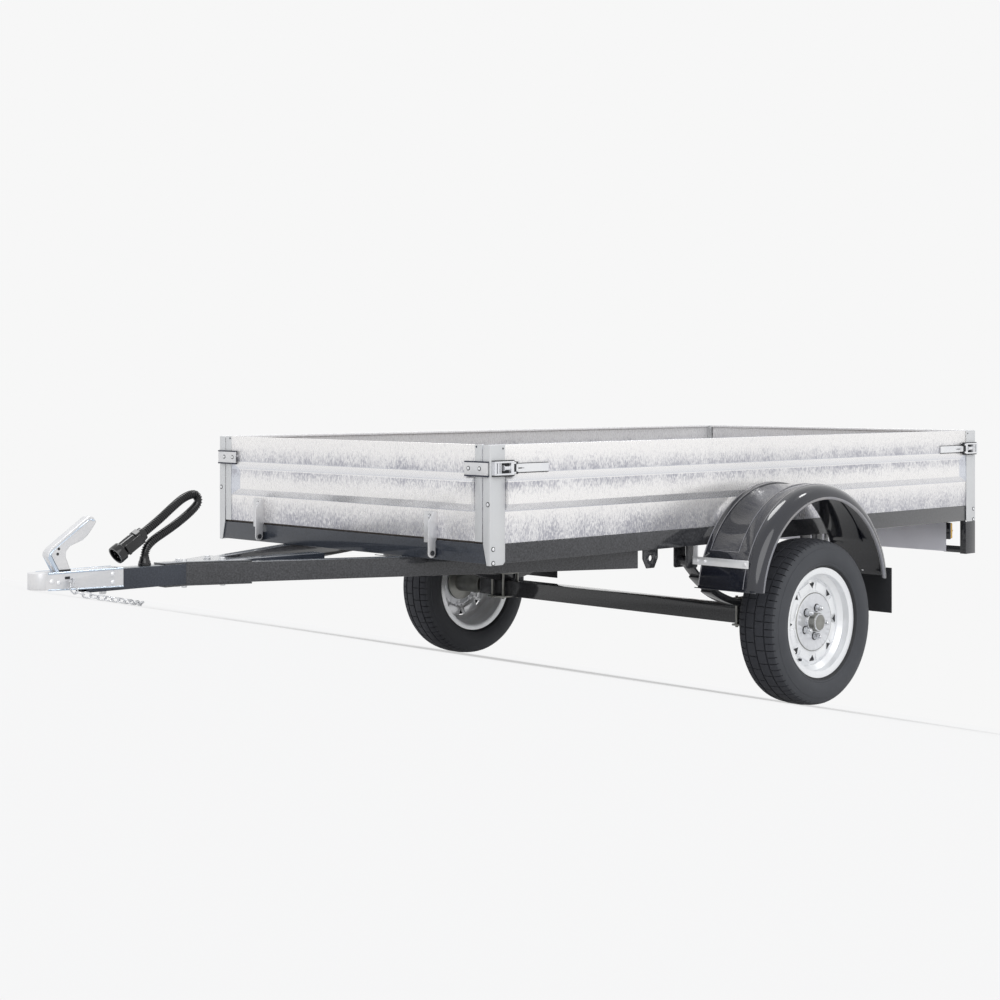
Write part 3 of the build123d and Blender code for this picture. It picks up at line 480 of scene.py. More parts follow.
def galvanised(name, metallic, pale):
    """Hot-dip galvanised sheet: pale, with grey-lavender crystals drawn out up and down, and painted shade
    mixed in by height along its folds and bands.
    """
    # the colour of the painted shade along the folds and sloped bands
    dull = (0.56, 0.58, 0.64)
    fleck = (0.42, 0.42, 0.465)
    material, tree, shader, vector = start_material(name, metallic)
    drawn = add(tree, "Mapping", {"Vector": vector, "Scale": (1.0, 1.0, 0.36)}).outputs["Vector"]
    place = add(tree, "SeparateXYZ", {"Vector": vector})
    low = spangle_and_shade_bands[0][0]
    high = spangle_and_shade_bands[-1][0]
    height = spread(tree, place.outputs["Z"], low - ball.z, high - ball.z, 0.0, 1.0)
    bands = add(tree, "ValToRGB", {"Fac": height})
    stops = bands.color_ramp.elements
    while len(stops) < len(spangle_and_shade_bands):
        stops.new(0.5)
    for stop, (level, density, painted_shade_share) in zip(stops, spangle_and_shade_bands):
        stop.position = (level - low) / (high - low)
        stop.color = (density, painted_shade_share, 0, 1)
    parted = add(tree, "SeparateColor", {"Color": bands.outputs["Color"]}).outputs
    inputs = {"Vector": drawn, "Crystal Size": 0.0032, "Patch Size": 0.11, "Density": parted["Red"]}
    crystals = add(tree, "Group", inputs, node_tree=spangle).outputs
    # painted shade mixed into the pale sheet by height
    sheet = mixed(tree, parted["Green"], pale, dull)
    feed(tree, shader, {"Base Color": mixed(tree, crystals["Mask"], sheet, fleck),
                        "Roughness": spread(tree, crystals["Height"], 0.0, 1.0, 0.24, 0.38),
                        "Normal": relief(tree, crystals["Height"], 0.1, 0.0003)})
    return material


powder = {"grain_scale": 200, "bump_depth": 0.0004, "specular": 0.3}
lens = {"grain_scale": 200, "bump": 0.1, "coat": 0.6, "coat_roughness": 0.05}
finish = {
    "galvanised": galvanised("galvanised sheet", 0.52, (0.9, 0.883, 0.87)),
    # painted shade: a darker copy of the sheet for the band ends that face along the wall
    "galvanised_end_shade": galvanised("galvanised sheet in painted shade", 0.52, (0.66, 0.68, 0.73)),
    # painted light: a paler, less metallic copy of the sheet for the walls' inner faces
    "galvanised_inside_lit": galvanised("galvanised sheet painted lighter", 0.12, (0.94, 0.93, 0.93)),
    "post": grained("smooth galvanised", ((0.66, 0.665, 0.67), (0.61, 0.62, 0.63)), (0.42, 0.5), 0.35,
        grain_scale=700, bump=0.04),
    "zinc": grained("bright zinc", ((0.88, 0.88, 0.88), (0.78, 0.79, 0.82)), (0.32, 0.4), 0.6,
        grain_scale=120, drift_scale=9, bump=0.008, grain_share=0.1),
    "cast_zinc": grained("dull zinc casting", ((0.76, 0.752, 0.752), (0.66, 0.668, 0.69)), (0.34, 0.44), 0.6,
        grain_scale=160, drift_scale=12, bump=0.03),
    "dull_zinc": grained("dull galvanised board", ((0.8, 0.8, 0.86), (0.72, 0.72, 0.78)), (0.45, 0.6), 0.3,
        grain_scale=500, bump=0.05),
    "black_frame": grained("black powder coat", ((0.002, 0.003, 0.005), (0.05, 0.051, 0.058)), (0.4, 0.56),
        bump=0.3, grain_share=0.9, coat=1.0, coat_roughness=0.06, **powder),
    # painted sheen: a paler blue-grey for upward faces, standing in for the sky reflected in them
    "frame_top_sheen": grained("powder coat with painted sheen", ((0.085, 0.1, 0.12), (0.165, 0.186, 0.212)), (0.4, 0.56),
        bump=0.2, grain_share=0.6, coat=1.0, coat_roughness=0.06, **powder),
    # painted shade: a darker, bluer copy of the black powder coat
    "frame_shade": grained("black powder coat in painted shade", ((0.006, 0.01, 0.018), (0.038, 0.045, 0.062)),
        (0.4, 0.56), bump=0.3, grain_share=0.7, coat=0.6, coat_roughness=0.08, **powder),
    "black_plastic": grained("black moulded plastic", ((0.007, 0.008, 0.013), (0.015, 0.017, 0.026)),
        (0.2, 0.34), grain_scale=700, drift_scale=3, bump=0.08, coat=1.0, coat_roughness=0.06,
        coat_ior=1.6, specular=0.1),
    # painted highlight: a paler plastic for the guard's beads and ridges
    "guard_edge_highlight": grained("plastic edge with painted highlight", ((0.15, 0.155, 0.185), (0.24, 0.228, 0.225)), (0.16, 0.26),
        grain_scale=300, drift_scale=9, bump=0.05, coat=1.0, coat_roughness=0.06),
    # painted shade: the dark colour of the strikes' folded edges and the stile holes
    "fold_shade": grained("folded edge in painted shade", ((0.02, 0.022, 0.04), (0.03, 0.033, 0.055)), (0.35, 0.5), 0.4,
        grain_scale=600, bump=0.06),
    "conduit_plastic": grained("black conduit", ((0.003, 0.003, 0.004), (0.008, 0.008, 0.01)), (0.22, 0.34),
        bump=0.05, coat=1.0, coat_roughness=0.05, specular=0.1),
    "tyre_rubber": grained("tyre rubber", ((0.045, 0.048, 0.055), (0.057, 0.06, 0.068)), (0.62, 0.8),
        grain_scale=600, drift_scale=9, bump=0.2, grain_share=0.4),
    "tread": grained("tread rubber", ((0.028, 0.03, 0.037), (0.04, 0.042, 0.05)), (0.7, 0.88),
        grain_scale=420, drift_scale=12, bump=0.3, grain_share=0.5),
    "flap_rubber": grained("sheet rubber", ((0.014, 0.015, 0.018), (0.02, 0.021, 0.024)), (0.55, 0.7),
        grain_scale=300, bump=0.2),
    "silver_rim": grained("silver paint", ((0.88, 0.89, 0.9), (0.82, 0.83, 0.85)), (0.26, 0.36), 0.45,
        grain_scale=1200, bump=0.05, coat=0.5, coat_roughness=0.12),
    "rim_centre": grained("silver paint in shade", ((0.74, 0.75, 0.775), (0.67, 0.68, 0.705)), (0.3, 0.42),
        0.45, grain_scale=1200, bump=0.05, coat=0.3, coat_roughness=0.2),
    "hub": grained("dull hub steel", ((0.24, 0.24, 0.225), (0.33, 0.33, 0.31)), (0.34, 0.5), 0.85,
        grain_scale=300, drift_scale=40, bump=0.2),
    "lever": grained("polished zinc", ((0.62, 0.7, 0.8), (0.52, 0.6, 0.7)), (0.1, 0.18), 0.95,
        grain_scale=160, bump=0.02),
    "chain": grained("zinc chain", ((0.78, 0.79, 0.8), (0.58, 0.59, 0.62)), (0.2, 0.36), 0.95,
        grain_scale=300, drift_scale=60, bump=0.1),
    "bed_board": grained("film-faced board", ((0.055, 0.042, 0.034), (0.08, 0.06, 0.048)), (0.38, 0.55),
        grain_scale=130, drift_scale=5, bump=0.25, bump_depth=0.0008),
    "amber": grained("amber lens", ((0.85, 0.42, 0.02), (0.95, 0.55, 0.03)), (0.12, 0.2), **lens),
    "lamp_plastic": grained("red lens", ((0.5, 0.01, 0.01), (0.62, 0.02, 0.015)), (0.12, 0.2), **lens),
}
slots = {row["node"]: row["material_slot"] for row in frame["record"]["subparts"]}
body_of = {node: body for body, members in frame["record"]["behaviour"]["bodies"].items() for node in members}
# the nodes whose finish isn't their slot's own
finish_by_node = {
    "corner_posts": "post", "front_gate_fittings": "post", "rear_gate_fittings": "post",
    "lamp_board": "dull_zinc", "mudguard_stays": "zinc", "coupling_head": "cast_zinc",
    "coupling_handle": "cast_zinc", "spring_clamps": "hub", "hub_left": "hub", "hub_right": "hub",
    # painted shade on the front rail and the tongue
    "front_rail": "frame_shade", "tongue": "frame_shade",
}

# ---- wiring: the ribbed conduit and its plug ----
gland_x = 0.741
conduit_radius = 0.013
conduit_valley = 0.0106
rib_pitch = 0.0062
conduit_route = (
    (gland_x, 0, 0.016), (gland_x, 0, 0.046), (0.714, -0.001, 0.072), (0.668, -0.002, 0.095),
    (0.624, -0.003, 0.119), (0.58, -0.003, 0.148), (0.549, -0.002, 0.176), (0.562, -0.001, 0.204),
    (0.604, 0, 0.194), (0.646, 0.001, 0.166), (0.694, 0.001, 0.129), (0.746, 0, 0.095),
)


def make_route():
    """The conduit's middle as one smooth curve, and the points that it passes."""
    curve = bpy.data.curves.new("conduit_route", "CURVE")
    curve.dimensions = "3D"
    spline = curve.splines.new("NURBS")
    spline.points.add(len(conduit_route) - 1)
    for point, place in zip(spline.points, conduit_route):
        point.co = (*(parked @ Vector(place)), 1)
    spline.order_u = 3
    spline.use_endpoint_u = True
    spline.resolution_u = 16
    route = bpy.data.objects.new("conduit_route", curve)
    bpy.context.scene.collection.objects.link(route)
    bpy.context.view_layer.update()
    passed = bpy.data.meshes.new_from_object(route)
    return route, [vertex.co.copy() for vertex in passed.vertices]


def make_conduit():
    """A ribbed tube: one rib, repeated along the route."""
    route, points = make_route()
    length = sum((b - a).length for a, b in zip(points, points[1:]))
    rib_count = round(length / rib_pitch)
    pitch = length / rib_count
    profile = ((0, conduit_valley), (0.2, conduit_valley), (0.36, conduit_radius), (0.68, conduit_radius),
               (0.84, conduit_valley), (1, conduit_valley))
    rib = turned([(pitch * share, radius) for share, radius in profile], 24, closed=False)
    rib.rotation_euler = (0, pi / 2, 0)
    bpy.ops.object.transform_apply()
    rib.name = "ribbed_conduit"
    apply_modifier(rib, "ARRAY", count=rib_count, use_relative_offset=False, use_constant_offset=True,
                   constant_offset_displace=(pitch, 0, 0), use_merge_vertices=True, merge_threshold=0.0001)
    with editing(rib):
        bpy.ops.mesh.fill_holes(sides=0)
        bpy.ops.mesh.normals_make_consistent()
    apply_modifier(rib, "CURVE", object=route, deform_axis="POS_X")
    smooth(rib, 50)
    fit(rib, "chassis", "cable_conduit", slot="conduit_plastic", carried=False)
    bpy.data.objects.remove(route)
    return rib, points, length


def make_plug(points):
    """The plug: a sleeve, a six-sided collar and a ribbed barrel with its pins inside."""
    sleeve = turned(((0.0, 0.015), (0.001, 0.02), (0.013, 0.021), (0.0145, 0.021)))
    nut = turned(((0.0135, 0.0225), (0.0145, 0.0258), (0.03, 0.0258), (0.0315, 0.0235)), 8)
    barrel = turned(((0.031, 0.019), (0.033, 0.0205), (0.05, 0.0212), (0.082, 0.022), (0.084, 0.0262),
                     (0.086, 0.0276), (0.104, 0.028), (0.109, 0.0272), (0.109, 0.0222), (0.092, 0.0215)), 40)
    grips = ring_of(block((0.0196, 0.0226), (-0.0014, 0.0014), (0.038, 0.08), 0.0007), 12)
    pins = ring_of(turned(((0.091, 0.0026), (0.102, 0.0026), (0.104, 0.0012)), 10), 6, 0.012)
    lids = blocks(((0.0265, 0.03), (-0.015, 0.015), (0.022, 0.078), 0.0014),
                  ((0.0245, 0.0315), (-0.016, 0.016), (0.074, 0.082), 0.002))
    hinge = placed(turned(((-0.01, 0.0036), (0.01, 0.0036)), 14), along((0.0275, 0, 0.022), (0, 1, 0)))
    plug = join([sleeve, nut, barrel, *grips, *pins, *lids, hinge], "trailer_plug")
    placed(plug, along(points[-1], points[-1] - points[-3]))
    smooth(plug, 30)
    return fit(plug, "chassis", "cable_plug", slot="conduit_plastic", carried=False)


def make_gland():
    """The boot that the conduit comes out of: a screwed foot and a tapering neck."""
    boot = turned(((0.0, 0.0185), (0.004, 0.019), (0.0075, 0.019), (0.0085, 0.0178), (0.013, 0.0172),
                   (0.017, 0.015), (0.024, 0.0138), (0.028, 0.0135)))
    placed(boot, Matrix.Translation((gland_x, 0, 0)), "conduit_boot")
    fit(boot, "chassis", "cable_gland", slot="conduit_plastic")


conduit, conduit_points, conduit_length = make_conduit()
trailer_plug = make_plug(conduit_points)
make_gland()


# ---- the pressed and welded steel, with its edges rounded off ----
soft_edge = {
    "side_wall_left": 0.0022, "side_wall_right": 0.0022, "front_gate": 0.0022, "rear_gate": 0.0022,
    "corner_posts": 0.0012, "front_gate_fittings": 0.0008, "rear_gate_fittings": 0.0008,
    "side_rail_left": 0.002, "side_rail_right": 0.002, "front_rail": 0.002, "rear_rail": 0.002,
    "crossmembers": 0.002, "tongue": 0.0028, "drawbar_beam_left": 0.0024, "drawbar_beam_right": 0.0024,
    "gusset_plates": 0.001, "coupling_head": 0.0016, "coupling_handle": 0.0012, "axle_beam": 0.0024,
    "leaf_spring_left": 0.001, "leaf_spring_right": 0.001, "spring_hangers": 0.001,
    "spring_clamps": 0.0008, "mudguard_stays": 0.0008, "mudflaps": 0.0012, "lamp_board": 0.0006,
    "lamp_brackets": 0.0007, "lashing_eyes": 0.0008, "floor_board": 0.0008, "hinge_lugs": 0.0006,
    "hub_left": 0.0014, "hub_right": 0.0014, "mudguard_left": 0.0009, "mudguard_right": 0.0009,
    "rim_left": 0.0009, "rim_right": 0.0009,
}
least_upward = 0.8
least_along = 0.15
least_inward = 0.3
# the nodes whose upward faces get a painted sheen
sheen_on_top = ("tongue", "gusset_plates", "drawbar_beam_left", "drawbar_beam_right")
# the way that the inside of each wall looks
inward = {"side_wall_left": (0, -1, 0), "side_wall_right": (0, 1, 0), "front_gate": (-1, 0, 0),
          "rear_gate": (1, 0, 0)}


def from_axle(spot):
    """How far a level point lies from the wheels' axis."""
    return hypot(spot.x - axle_x, spot.z - wheel_z)


def is_fitting(spot, _):
    """The leaves, strikes and bosses of a gate, and not its stiles."""
    ahead = max(spot.x - front_face, rear_face - spot.x)
    return abs(spot.y) < 0.6095 or ahead > 0.0021


def is_board_edge(spot, _):
    """The sawn edge of the floor board, sealed black."""
    rim = 0.004
    return spot.x > front_face - rim or spot.x < rear_face + rim or abs(spot.y) > skin - rim


def is_dome(spot, _):
    """The outer face of a wheel's raised middle."""
    return from_axle(spot) < 0.0945 and abs(spot.y) > wheel_y + disc_face + 0.002


def turn_rim(rim):
    """Turn the rim by half the step between its vents, so that one is straight ahead."""
    with editing(rim):
        bpy.ops.transform.rotate(value=radians(22.5), orient_axis="Y",
                                 center_override=parked @ Vector((axle_x, 0, wheel_z)))


def finish_cad_nodes():
    """Round off each node that keeps its own form, and give it its finish."""
    for node, edge in soft_edge.items():
        copy = rounded(node, edge)
        if node.startswith("rim_"):
            turn_rim(copy)
        fit(copy, body_of[node], node, slot=slots[node], look=finish_by_node.get(node), carried=False)
        if node.startswith("rim_"):
            # painted shade: the dome's outer face takes a darker silver
            second_finish(copy, "rim_centre", is_dome)
        if node.endswith("gate_fittings"):
            second_finish(copy, "cast_zinc", is_fitting)
        if node in sheen_on_top:
            # painted sheen on the upward faces
            second_finish(copy, "frame_top_sheen", faces((0, 0, 1), least_upward))
        if node in inward:
            # painted shade on the faces that look along the wall
            along_wall = Vector((0, 0, 1)).cross(inward[node])
            second_finish(copy, "galvanised_end_shade", faces(along_wall, least_along))
            second_finish(copy, "galvanised_end_shade", faces(-along_wall, least_along))
            # painted light on the inner faces
            second_finish(copy, "galvanised_inside_lit", faces(inward[node], least_inward))
        if node == "floor_board":
            second_finish(copy, "black_frame", is_board_edge)


finish_cad_nodes()


# ---- wheels ----
tread_sectors = 72
tread_grooves = (-0.037, 0.0, 0.037)
groove_depth = 0.006
crown_fall = 1.6
vent_reach = 0.1215
stud_reach = 0.049
valve_reach = 0.112


def at_wheel(sign, out=0.0, ahead=0.0, up=0.0):
    """The matrix that sets a piece made along +Z on a wheel's axis, this far out from its middle."""
    return along((axle_x + ahead, sign * (wheel_y + out), wheel_z + up), (0, sign, 0))


def is_tread_cut(middle, way):
    """The edges across the tread that become cuts: all at the shoulders, every other one between."""
    if abs(way.z) < 0.6 or middle.xy.length < 0.264:
        return False
    if any(abs(middle.z - groove) < 0.0028 for groove in tread_grooves):
        return False
    sector = round(degrees(atan2(middle.y, middle.x)) * tread_sectors / 360)
    return abs(middle.z) > 0.04 or sector % 2 == (middle.z > 0)


def make_tyre(side, sign):
    """A tyre: two round walls, a tread with three grooves, and cuts across it that make its blocks."""
    half = [(-0.052, 0.1655), (-0.0605, 0.183), (-0.0655, 0.1855), (-0.072, 0.1905), (-0.0755, 0.195),
            (-0.075, 0.1972), (-0.079, 0.203), (-0.0828, 0.214), (-0.0835, 0.224), (-0.0822, 0.236),
            (-0.0785, 0.2475), (-0.077, 0.2482), (-0.0745, 0.256), (-0.0705, 0.2625), (-0.066, 0.2668),
            (-0.06, 0.27)]
    crown = [(-0.052, 0.2722)]
    for middle in tread_grooves:
        top = 0.2765 - crown_fall * middle * middle
        crown += [(middle - 0.003, top), (middle - 0.0018, top - groove_depth),
                  (middle + 0.0018, top - groove_depth), (middle + 0.003, top)]
        between = middle + 0.0185
        if middle != tread_grooves[-1]:
            crown.append((between, 0.277 - crown_fall * between ** 2))
    crown.append((0.052, 0.2722))
    steps = half + crown + [(-height, radius) for height, radius in reversed(half)]
    tyre = turned(steps + [steps[0]], tread_sectors, closed=False)
    with editing(tyre, "EDGE", is_tread_cut):
        bpy.ops.mesh.bevel(offset=0.0015, segments=1, affect="EDGES")
        bpy.ops.mesh.select_mode(type="FACE")
        bpy.ops.mesh.extrude_region_shrink_fatten(TRANSFORM_OT_shrink_fatten={"value": -0.0055})
        face_outwards(0.00005)
    smooth(tyre, 38)
    placed(tyre, at_wheel(sign), f"treaded_tyre_{side}")
    fit(tyre, f"{side}_wheel", f"tyre_{side}", slot="tyre_rubber")
    second_finish(tyre, "tread", lambda spot, _: from_axle(spot) > 0.2655)
    # painted shade: the tyre's faces next to the rim take the dark sheet rubber
    second_finish(tyre, "flap_rubber", lambda spot, _: from_axle(spot) < 0.188)


def make_vents(side, sign):
    """The dark three-cornered openings around the wheel's dome, seen as their shadow."""
    vent = smooth(turned(((0, 0.0145), (0.0012, 0.0135)), 3), 10)
    vents = join(ring_of(vent, 8, vent_reach, pi / 2), f"rim_vents_{side}")
    return smooth(placed(vents, at_wheel(sign, disc_face + 0.0002)), 10)


def make_wheel_fasteners(side, sign):
    """Studs and nuts, the cap's lip and the valve of one wheel."""
    body = f"{side}_wheel"
    nut = turned(((0.0, 0.012), (0.004, 0.012), (0.0045, 0.0105), (0.0185, 0.0105), (0.0205, 0.009)), 6)
    stud = turned(((0.019, 0.0062), (0.027, 0.0062), (0.0285, 0.0045)), 14)
    angles = [radians(43 + 72 * index) for index in range(5)]
    spots, ring_spots = ([((axle_x + stud_reach * cos(angle), sign * (wheel_y + disc_face + out),
                            wheel_z + stud_reach * sin(angle)), (0, sign, 0)) for angle in angles]
                         for out in (0.0035, 0.0043))
    fit(scatter(join([nut, stud], "nut"), spots, f"wheel_nuts_{side}"), body, slot="zinc", look="chain")
    # painted shadow: dark rings under the wheel nuts
    fasten(shadow_ring(0.014), ring_spots, f"wheel_nut_shadow_rings_{side}", body, dark)
    fit(make_vents(side, sign), body, **dark)
    # painted shade: a dark grey line along the fold at the dome's edge
    fold = turned(((0.033, 0.096), (0.035, 0.0948), (0.0356, 0.0956), (0.0334, 0.0978),
                   (0.033, 0.096)), 72, closed=False)
    fit(placed(fold, at_wheel(sign), f"rim_fold_shade_{side}"), body, slot="silver_rim", look="hub")
    lip = turned(((0.0, 0.033), (0.003, 0.0352), (0.007, 0.0352), (0.009, 0.0322)), 36)
    crown = turned(((0.029, 0.03), (0.0335, 0.0282), (0.034, 0.0262), (0.0315, 0.0245), (0.0315, 0.012),
                    (0.0325, 0.01)), 36)
    cap = placed(join([lip, crown], f"hub_cap_ring_{side}"), at_wheel(sign, disc_face + 0.001))
    fit(smooth(cap), body, slot="silver_rim", look="chain")
    valve = turned(((0.0, 0.006), (0.008, 0.0055), (0.01, 0.004), (0.028, 0.0035), (0.029, 0.0048),
                    (0.036, 0.0046), (0.037, 0.003)), 14)
    placed(valve, at_wheel(sign, 0.03, valve_reach, -valve_reach), f"tyre_valve_{side}")
    fit(valve, body, slot="tyre_rubber", look="tread")


# ---- mudguard trim ----
guard_radius = 0.382
panel_start = 27.0
panel_edges = (0.711, 0.828)
ridge = 0.0013


def arc_bead(radius, y, size, start, section=8):
    """A round bead about the mudguard's axis, from this many degrees above level to as many at the back."""
    angle = radians(start)
    clear()
    bpy.ops.mesh.primitive_circle_add(vertices=section, radius=size, fill_type="NGON")
    place = Matrix.Translation((axle_x + radius * cos(angle), y, arch_z + radius * sin(angle)))
    bead = placed(bpy.context.object, place @ Matrix.Rotation(-angle, 4, "Y"))
    with editing(bead):
        bpy.ops.mesh.spin(steps=56, angle=pi - 2 * angle, center=(axle_x, y, arch_z), axis=(0, 1, 0))
        face_outwards(0.00005)
    return smooth(bead)


def make_guard_trim(side, sign):
    """The guard's rolled rim, its pressed ridges, and the four that close its recessed panel, in a paler
    finish that paints highlights along them.
    """
    beads = [
        arc_bead(0.338, sign * 0.9205, 0.0058, 8.5, 12),
        arc_bead(0.3525, sign * 0.9195, 0.0016, 8.5),
        arc_bead(0.3812, sign * 0.6905, 0.0026, 9.0),
        arc_bead(0.3822, sign * 0.874, 0.0015, 9.0),
        *[arc_bead(guard_radius, sign * across, ridge, panel_start) for across in panel_edges],
    ]
    low, high = panel_edges
    for angle in (radians(panel_start), pi - radians(panel_start)):
        x = axle_x + guard_radius * cos(angle)
        z = arch_z + guard_radius * sin(angle)
        beads.append(swept([(x, sign * across, z) for across in (low, 0.77, high)], ridge, 8))
    trim = join(beads, f"guard_trim_{side}")
    # painted highlight along the trim
    fit(smooth(trim), "chassis", slot="black_plastic", look="guard_edge_highlight")


for wheel_side, wheel_sign in sides:
    make_tyre(wheel_side, wheel_sign)
    make_wheel_fasteners(wheel_side, wheel_sign)
for guard_side, guard_sign in sides:
    make_guard_trim(guard_side, guard_sign)


# ---- small hardware ----
far_side = Matrix.Diagonal((1, -1, 1, 1))
far_end = Matrix.Translation((-box_length, 0, 0)) @ Matrix.Diagonal((-1, 1, 1, 1))
latch_low = 0.26
latch_high = 0.301


def four_corners(piece, name):
    """A piece made at the front left corner, repeated at the other three."""
    pair = join([piece, copy_of(piece, far_side)], name)
    return join([pair, copy_of(pair, far_end)], name)


def hex_bolt(size, rise):
    """A six-sided bolt head on its washer, standing up along +Z."""
    washer = turned(((0, size * 1.25), (0.001, size * 1.25), (0.0014, size * 1.15)), 20)
    head = turned(((0.0008, size), (rise * 0.8, size), (rise, size * 0.82)), 6)
    return join([washer, smooth(head, 20)], "hex_bolt")


def dome_rivet(size, rise):
    """A round rivet head."""
    return turned(((0, size), (rise * 0.35, size), (rise * 0.75, size * 0.72), (rise, size * 0.3)), 16)


def at_rear(spots):
    """The rear places and directions that match these at the front."""
    return [((-box_length - x, y, z), (-ahead, across, up)) for (x, y, z), (ahead, across, up) in spots]


def both_ends(spots):
    """Each front spot, followed by its match at the rear."""
    return [spot for pair in zip(spots, at_rear(spots)) for spot in pair]


def make_corner_hardware():
    """Bolts of the corner posts with painted shadow rings under them, and their small holes as dark discs of
    painted shade.
    """
    out = (0, 1, 0)
    spots = both_sides(both_ends([((-0.013, half_width, 0.044), out), ((-0.013, half_width, 0.003), out),
                                  ((0, 0.666, 0.175), (1, 0, 0))]))
    fasten(dome_rivet(0.005, 0.0034), spots, "post_rivets")
    fasten(shadow_ring(0.0074), spots, "post_rivet_shadow_rings", look=dark)
    # painted shade: the posts' small holes as dark discs
    hole = turned(((-0.0008, 0.003), (0.0003, 0.003)), 12)
    holes = both_sides(both_ends([((-0.053, half_width, 0.338), out)]))
    fasten(hole, holes, "post_holes", look=dark)


def make_latch():
    """One toggle latch: a frame with two side walls, a roller, a knuckle and the strap it pulls on."""
    frame_plates = blocks(
        ((-0.008, -0.1), (0.675, 0.6775), (latch_low, latch_high), 0.0006),
        ((-0.007, -0.086), (0.676, 0.69), (0.2955, latch_high), 0.0015),
        ((-0.007, -0.086), (0.676, 0.69), (latch_low, 0.2655), 0.0015),
        ((-0.007, -0.015), (0.676, 0.69), (0.262, 0.299), 0.0015),
        ((-0.0195, -0.027), (0.676, 0.6885), (0.265, 0.296), 0.001),
        ((-0.0305, -0.035), (0.676, 0.688), (0.265, 0.296), 0.001),
        ((-0.074, -0.086), (0.676, 0.689), (0.264, 0.297), 0.0015),
    )
    roller = placed(spool(0.0296, 0.003, 0.0085, 0.0058, 20), along((-0.0425, 0.6855, 0.2805), (-1, 0, 0)))
    knuckle = placed(spool(0.034, 0.005, 0.0062, 0.0044, 18), along((-0.0905, 0.6835, 0.2635), (0, 0, 1)))
    strap = blocks(((-0.0995, -0.243), (0.6725, 0.6765), (0.2665, 0.292), 0.001),
                   ((-0.096, -0.1085), (0.674, 0.684), (0.268, 0.2905), 0.002))
    return join([*frame_plates, roller, knuckle, *strap], "toggle_latch")


def make_latch_shadows():
    """Painted shade of one latch: dark plates in its wells, gaps and slot."""
    return join(blocks(
        ((-0.035, -0.074), (0.6772, 0.6786), (0.2655, 0.2955), 0.0003),
        ((-0.015, -0.0195), (0.6772, 0.684), (0.2655, 0.2955), 0.0003),
        ((-0.027, -0.0305), (0.6772, 0.682), (0.2655, 0.2955), 0.0003),
        ((-0.084, -0.096), (0.674, 0.678), (latch_low, latch_high), 0.0004),
        ((-0.112, -0.13), (0.676, 0.6769), (0.277, 0.2805), 0.0003),
        ((-0.13, -0.139), (0.676, 0.6769), (0.278, 0.2795), 0.0003),
        ((-0.06, -0.243), (0.6722, 0.6758), (0.2912, 0.2938), 0.0004),
        ((-0.085, -0.243), (0.6722, 0.6758), (0.264, 0.267), 0.0004),
        ((-0.007, -0.09), (0.6752, 0.686), (0.3004, 0.3038), 0.0008),
        ((-0.007, -0.09), (0.6752, 0.686), (0.2562, 0.2606), 0.0008),
        ((-0.086, -0.096), (0.676, 0.688), (0.264, 0.297), 0.001),
        ((-0.094, -0.104), (0.676, 0.6875), (0.262, 0.269), 0.001),
        ((-0.094, -0.104), (0.676, 0.6875), (0.292, 0.299), 0.001),
    ), "latch_shadows")


def make_gate_hardware(end, match, place):
    """One gate's strike folds and rivets and its hinges' bolts, made in front and matched to its end; the
    folds and stile holes are dark with painted shade, and painted shadow rings lie under the rivets and
    bolts.
    """
    body = f"{end}_gate_body"
    ahead = (1, 0, 0)
    strikes = match(both_sides([((0.0078, across, 0.2795), ahead) for across in (0.5905, 0.638)]))
    hinges = match([((0.0008, hinge - 0.029, height), ahead) for hinge in (0.44, -0.425)
                    for height in (0.129, 0.092, 0.074)])
    fasten(dome_rivet(0.0046, 0.0034), strikes, f"{end}_strike_rivets", body)
    fasten(shadow_ring(0.0068), strikes, f"{end}_strike_shadow_rings", body, dark)
    fasten(shadow_ring(0.007), hinges, f"{end}_hinge_bolt_shadow_rings", body, dark)
    fasten(hex_bolt(0.0044, 0.0046), hinges, f"{end}_hinge_bolts", body)
    folds = []
    for height in ((0.297, 0.3012), (0.2556, 0.2604)):
        fold = block((0.002, 0.0088), (0.573, 0.6735), height, 0.001)
        folds += [fold, copy_of(fold, far_side)]
    hole = turned(((0.0, 0.0032), (0.003, 0.0032)), 12)
    folds.append(scatter(hole, both_sides([((-0.0035, 0.616, 0.343), ahead)]), "stile_holes"))
    folds = placed(join(folds, f"{end}_strike_folds"), place)
    # painted shade: the folds and stile holes take a dark finish
    fit(folds, body, slot="black_frame", look="fold_shade")


def make_frame_bolts():
    """Bolts of the mudguard stays and flaps, and through the drawbar's gusset plates."""
    ahead = (1, 0, 0)
    back = (-1, 0, 0)
    spots = []
    for across in (0.675, 0.706, 0.872):
        spots += [((-0.9352, across, -0.049), ahead), ((2 * axle_x + 0.9352, across, -0.049), back)]
    for across in (0.72, 0.806, 0.892):
        spots += [((-1.6778, across, -0.119), ahead), ((-1.6822, across, -0.119), back)]
    fasten(hex_bolt(0.0058, 0.005), both_sides(spots), "guard_bolts")
    spots = []
    for x, across in ((0.611, 0.01), (0.611, -0.022), (0.495, 0.04), (0.495, -0.04)):
        spots += [((x, across, 0.0048), (0, 0, 1)), ((x, across, -0.0648), (0, 0, -1))]
    fasten(hex_bolt(0.0085, 0.0075), spots, "gusset_bolts")


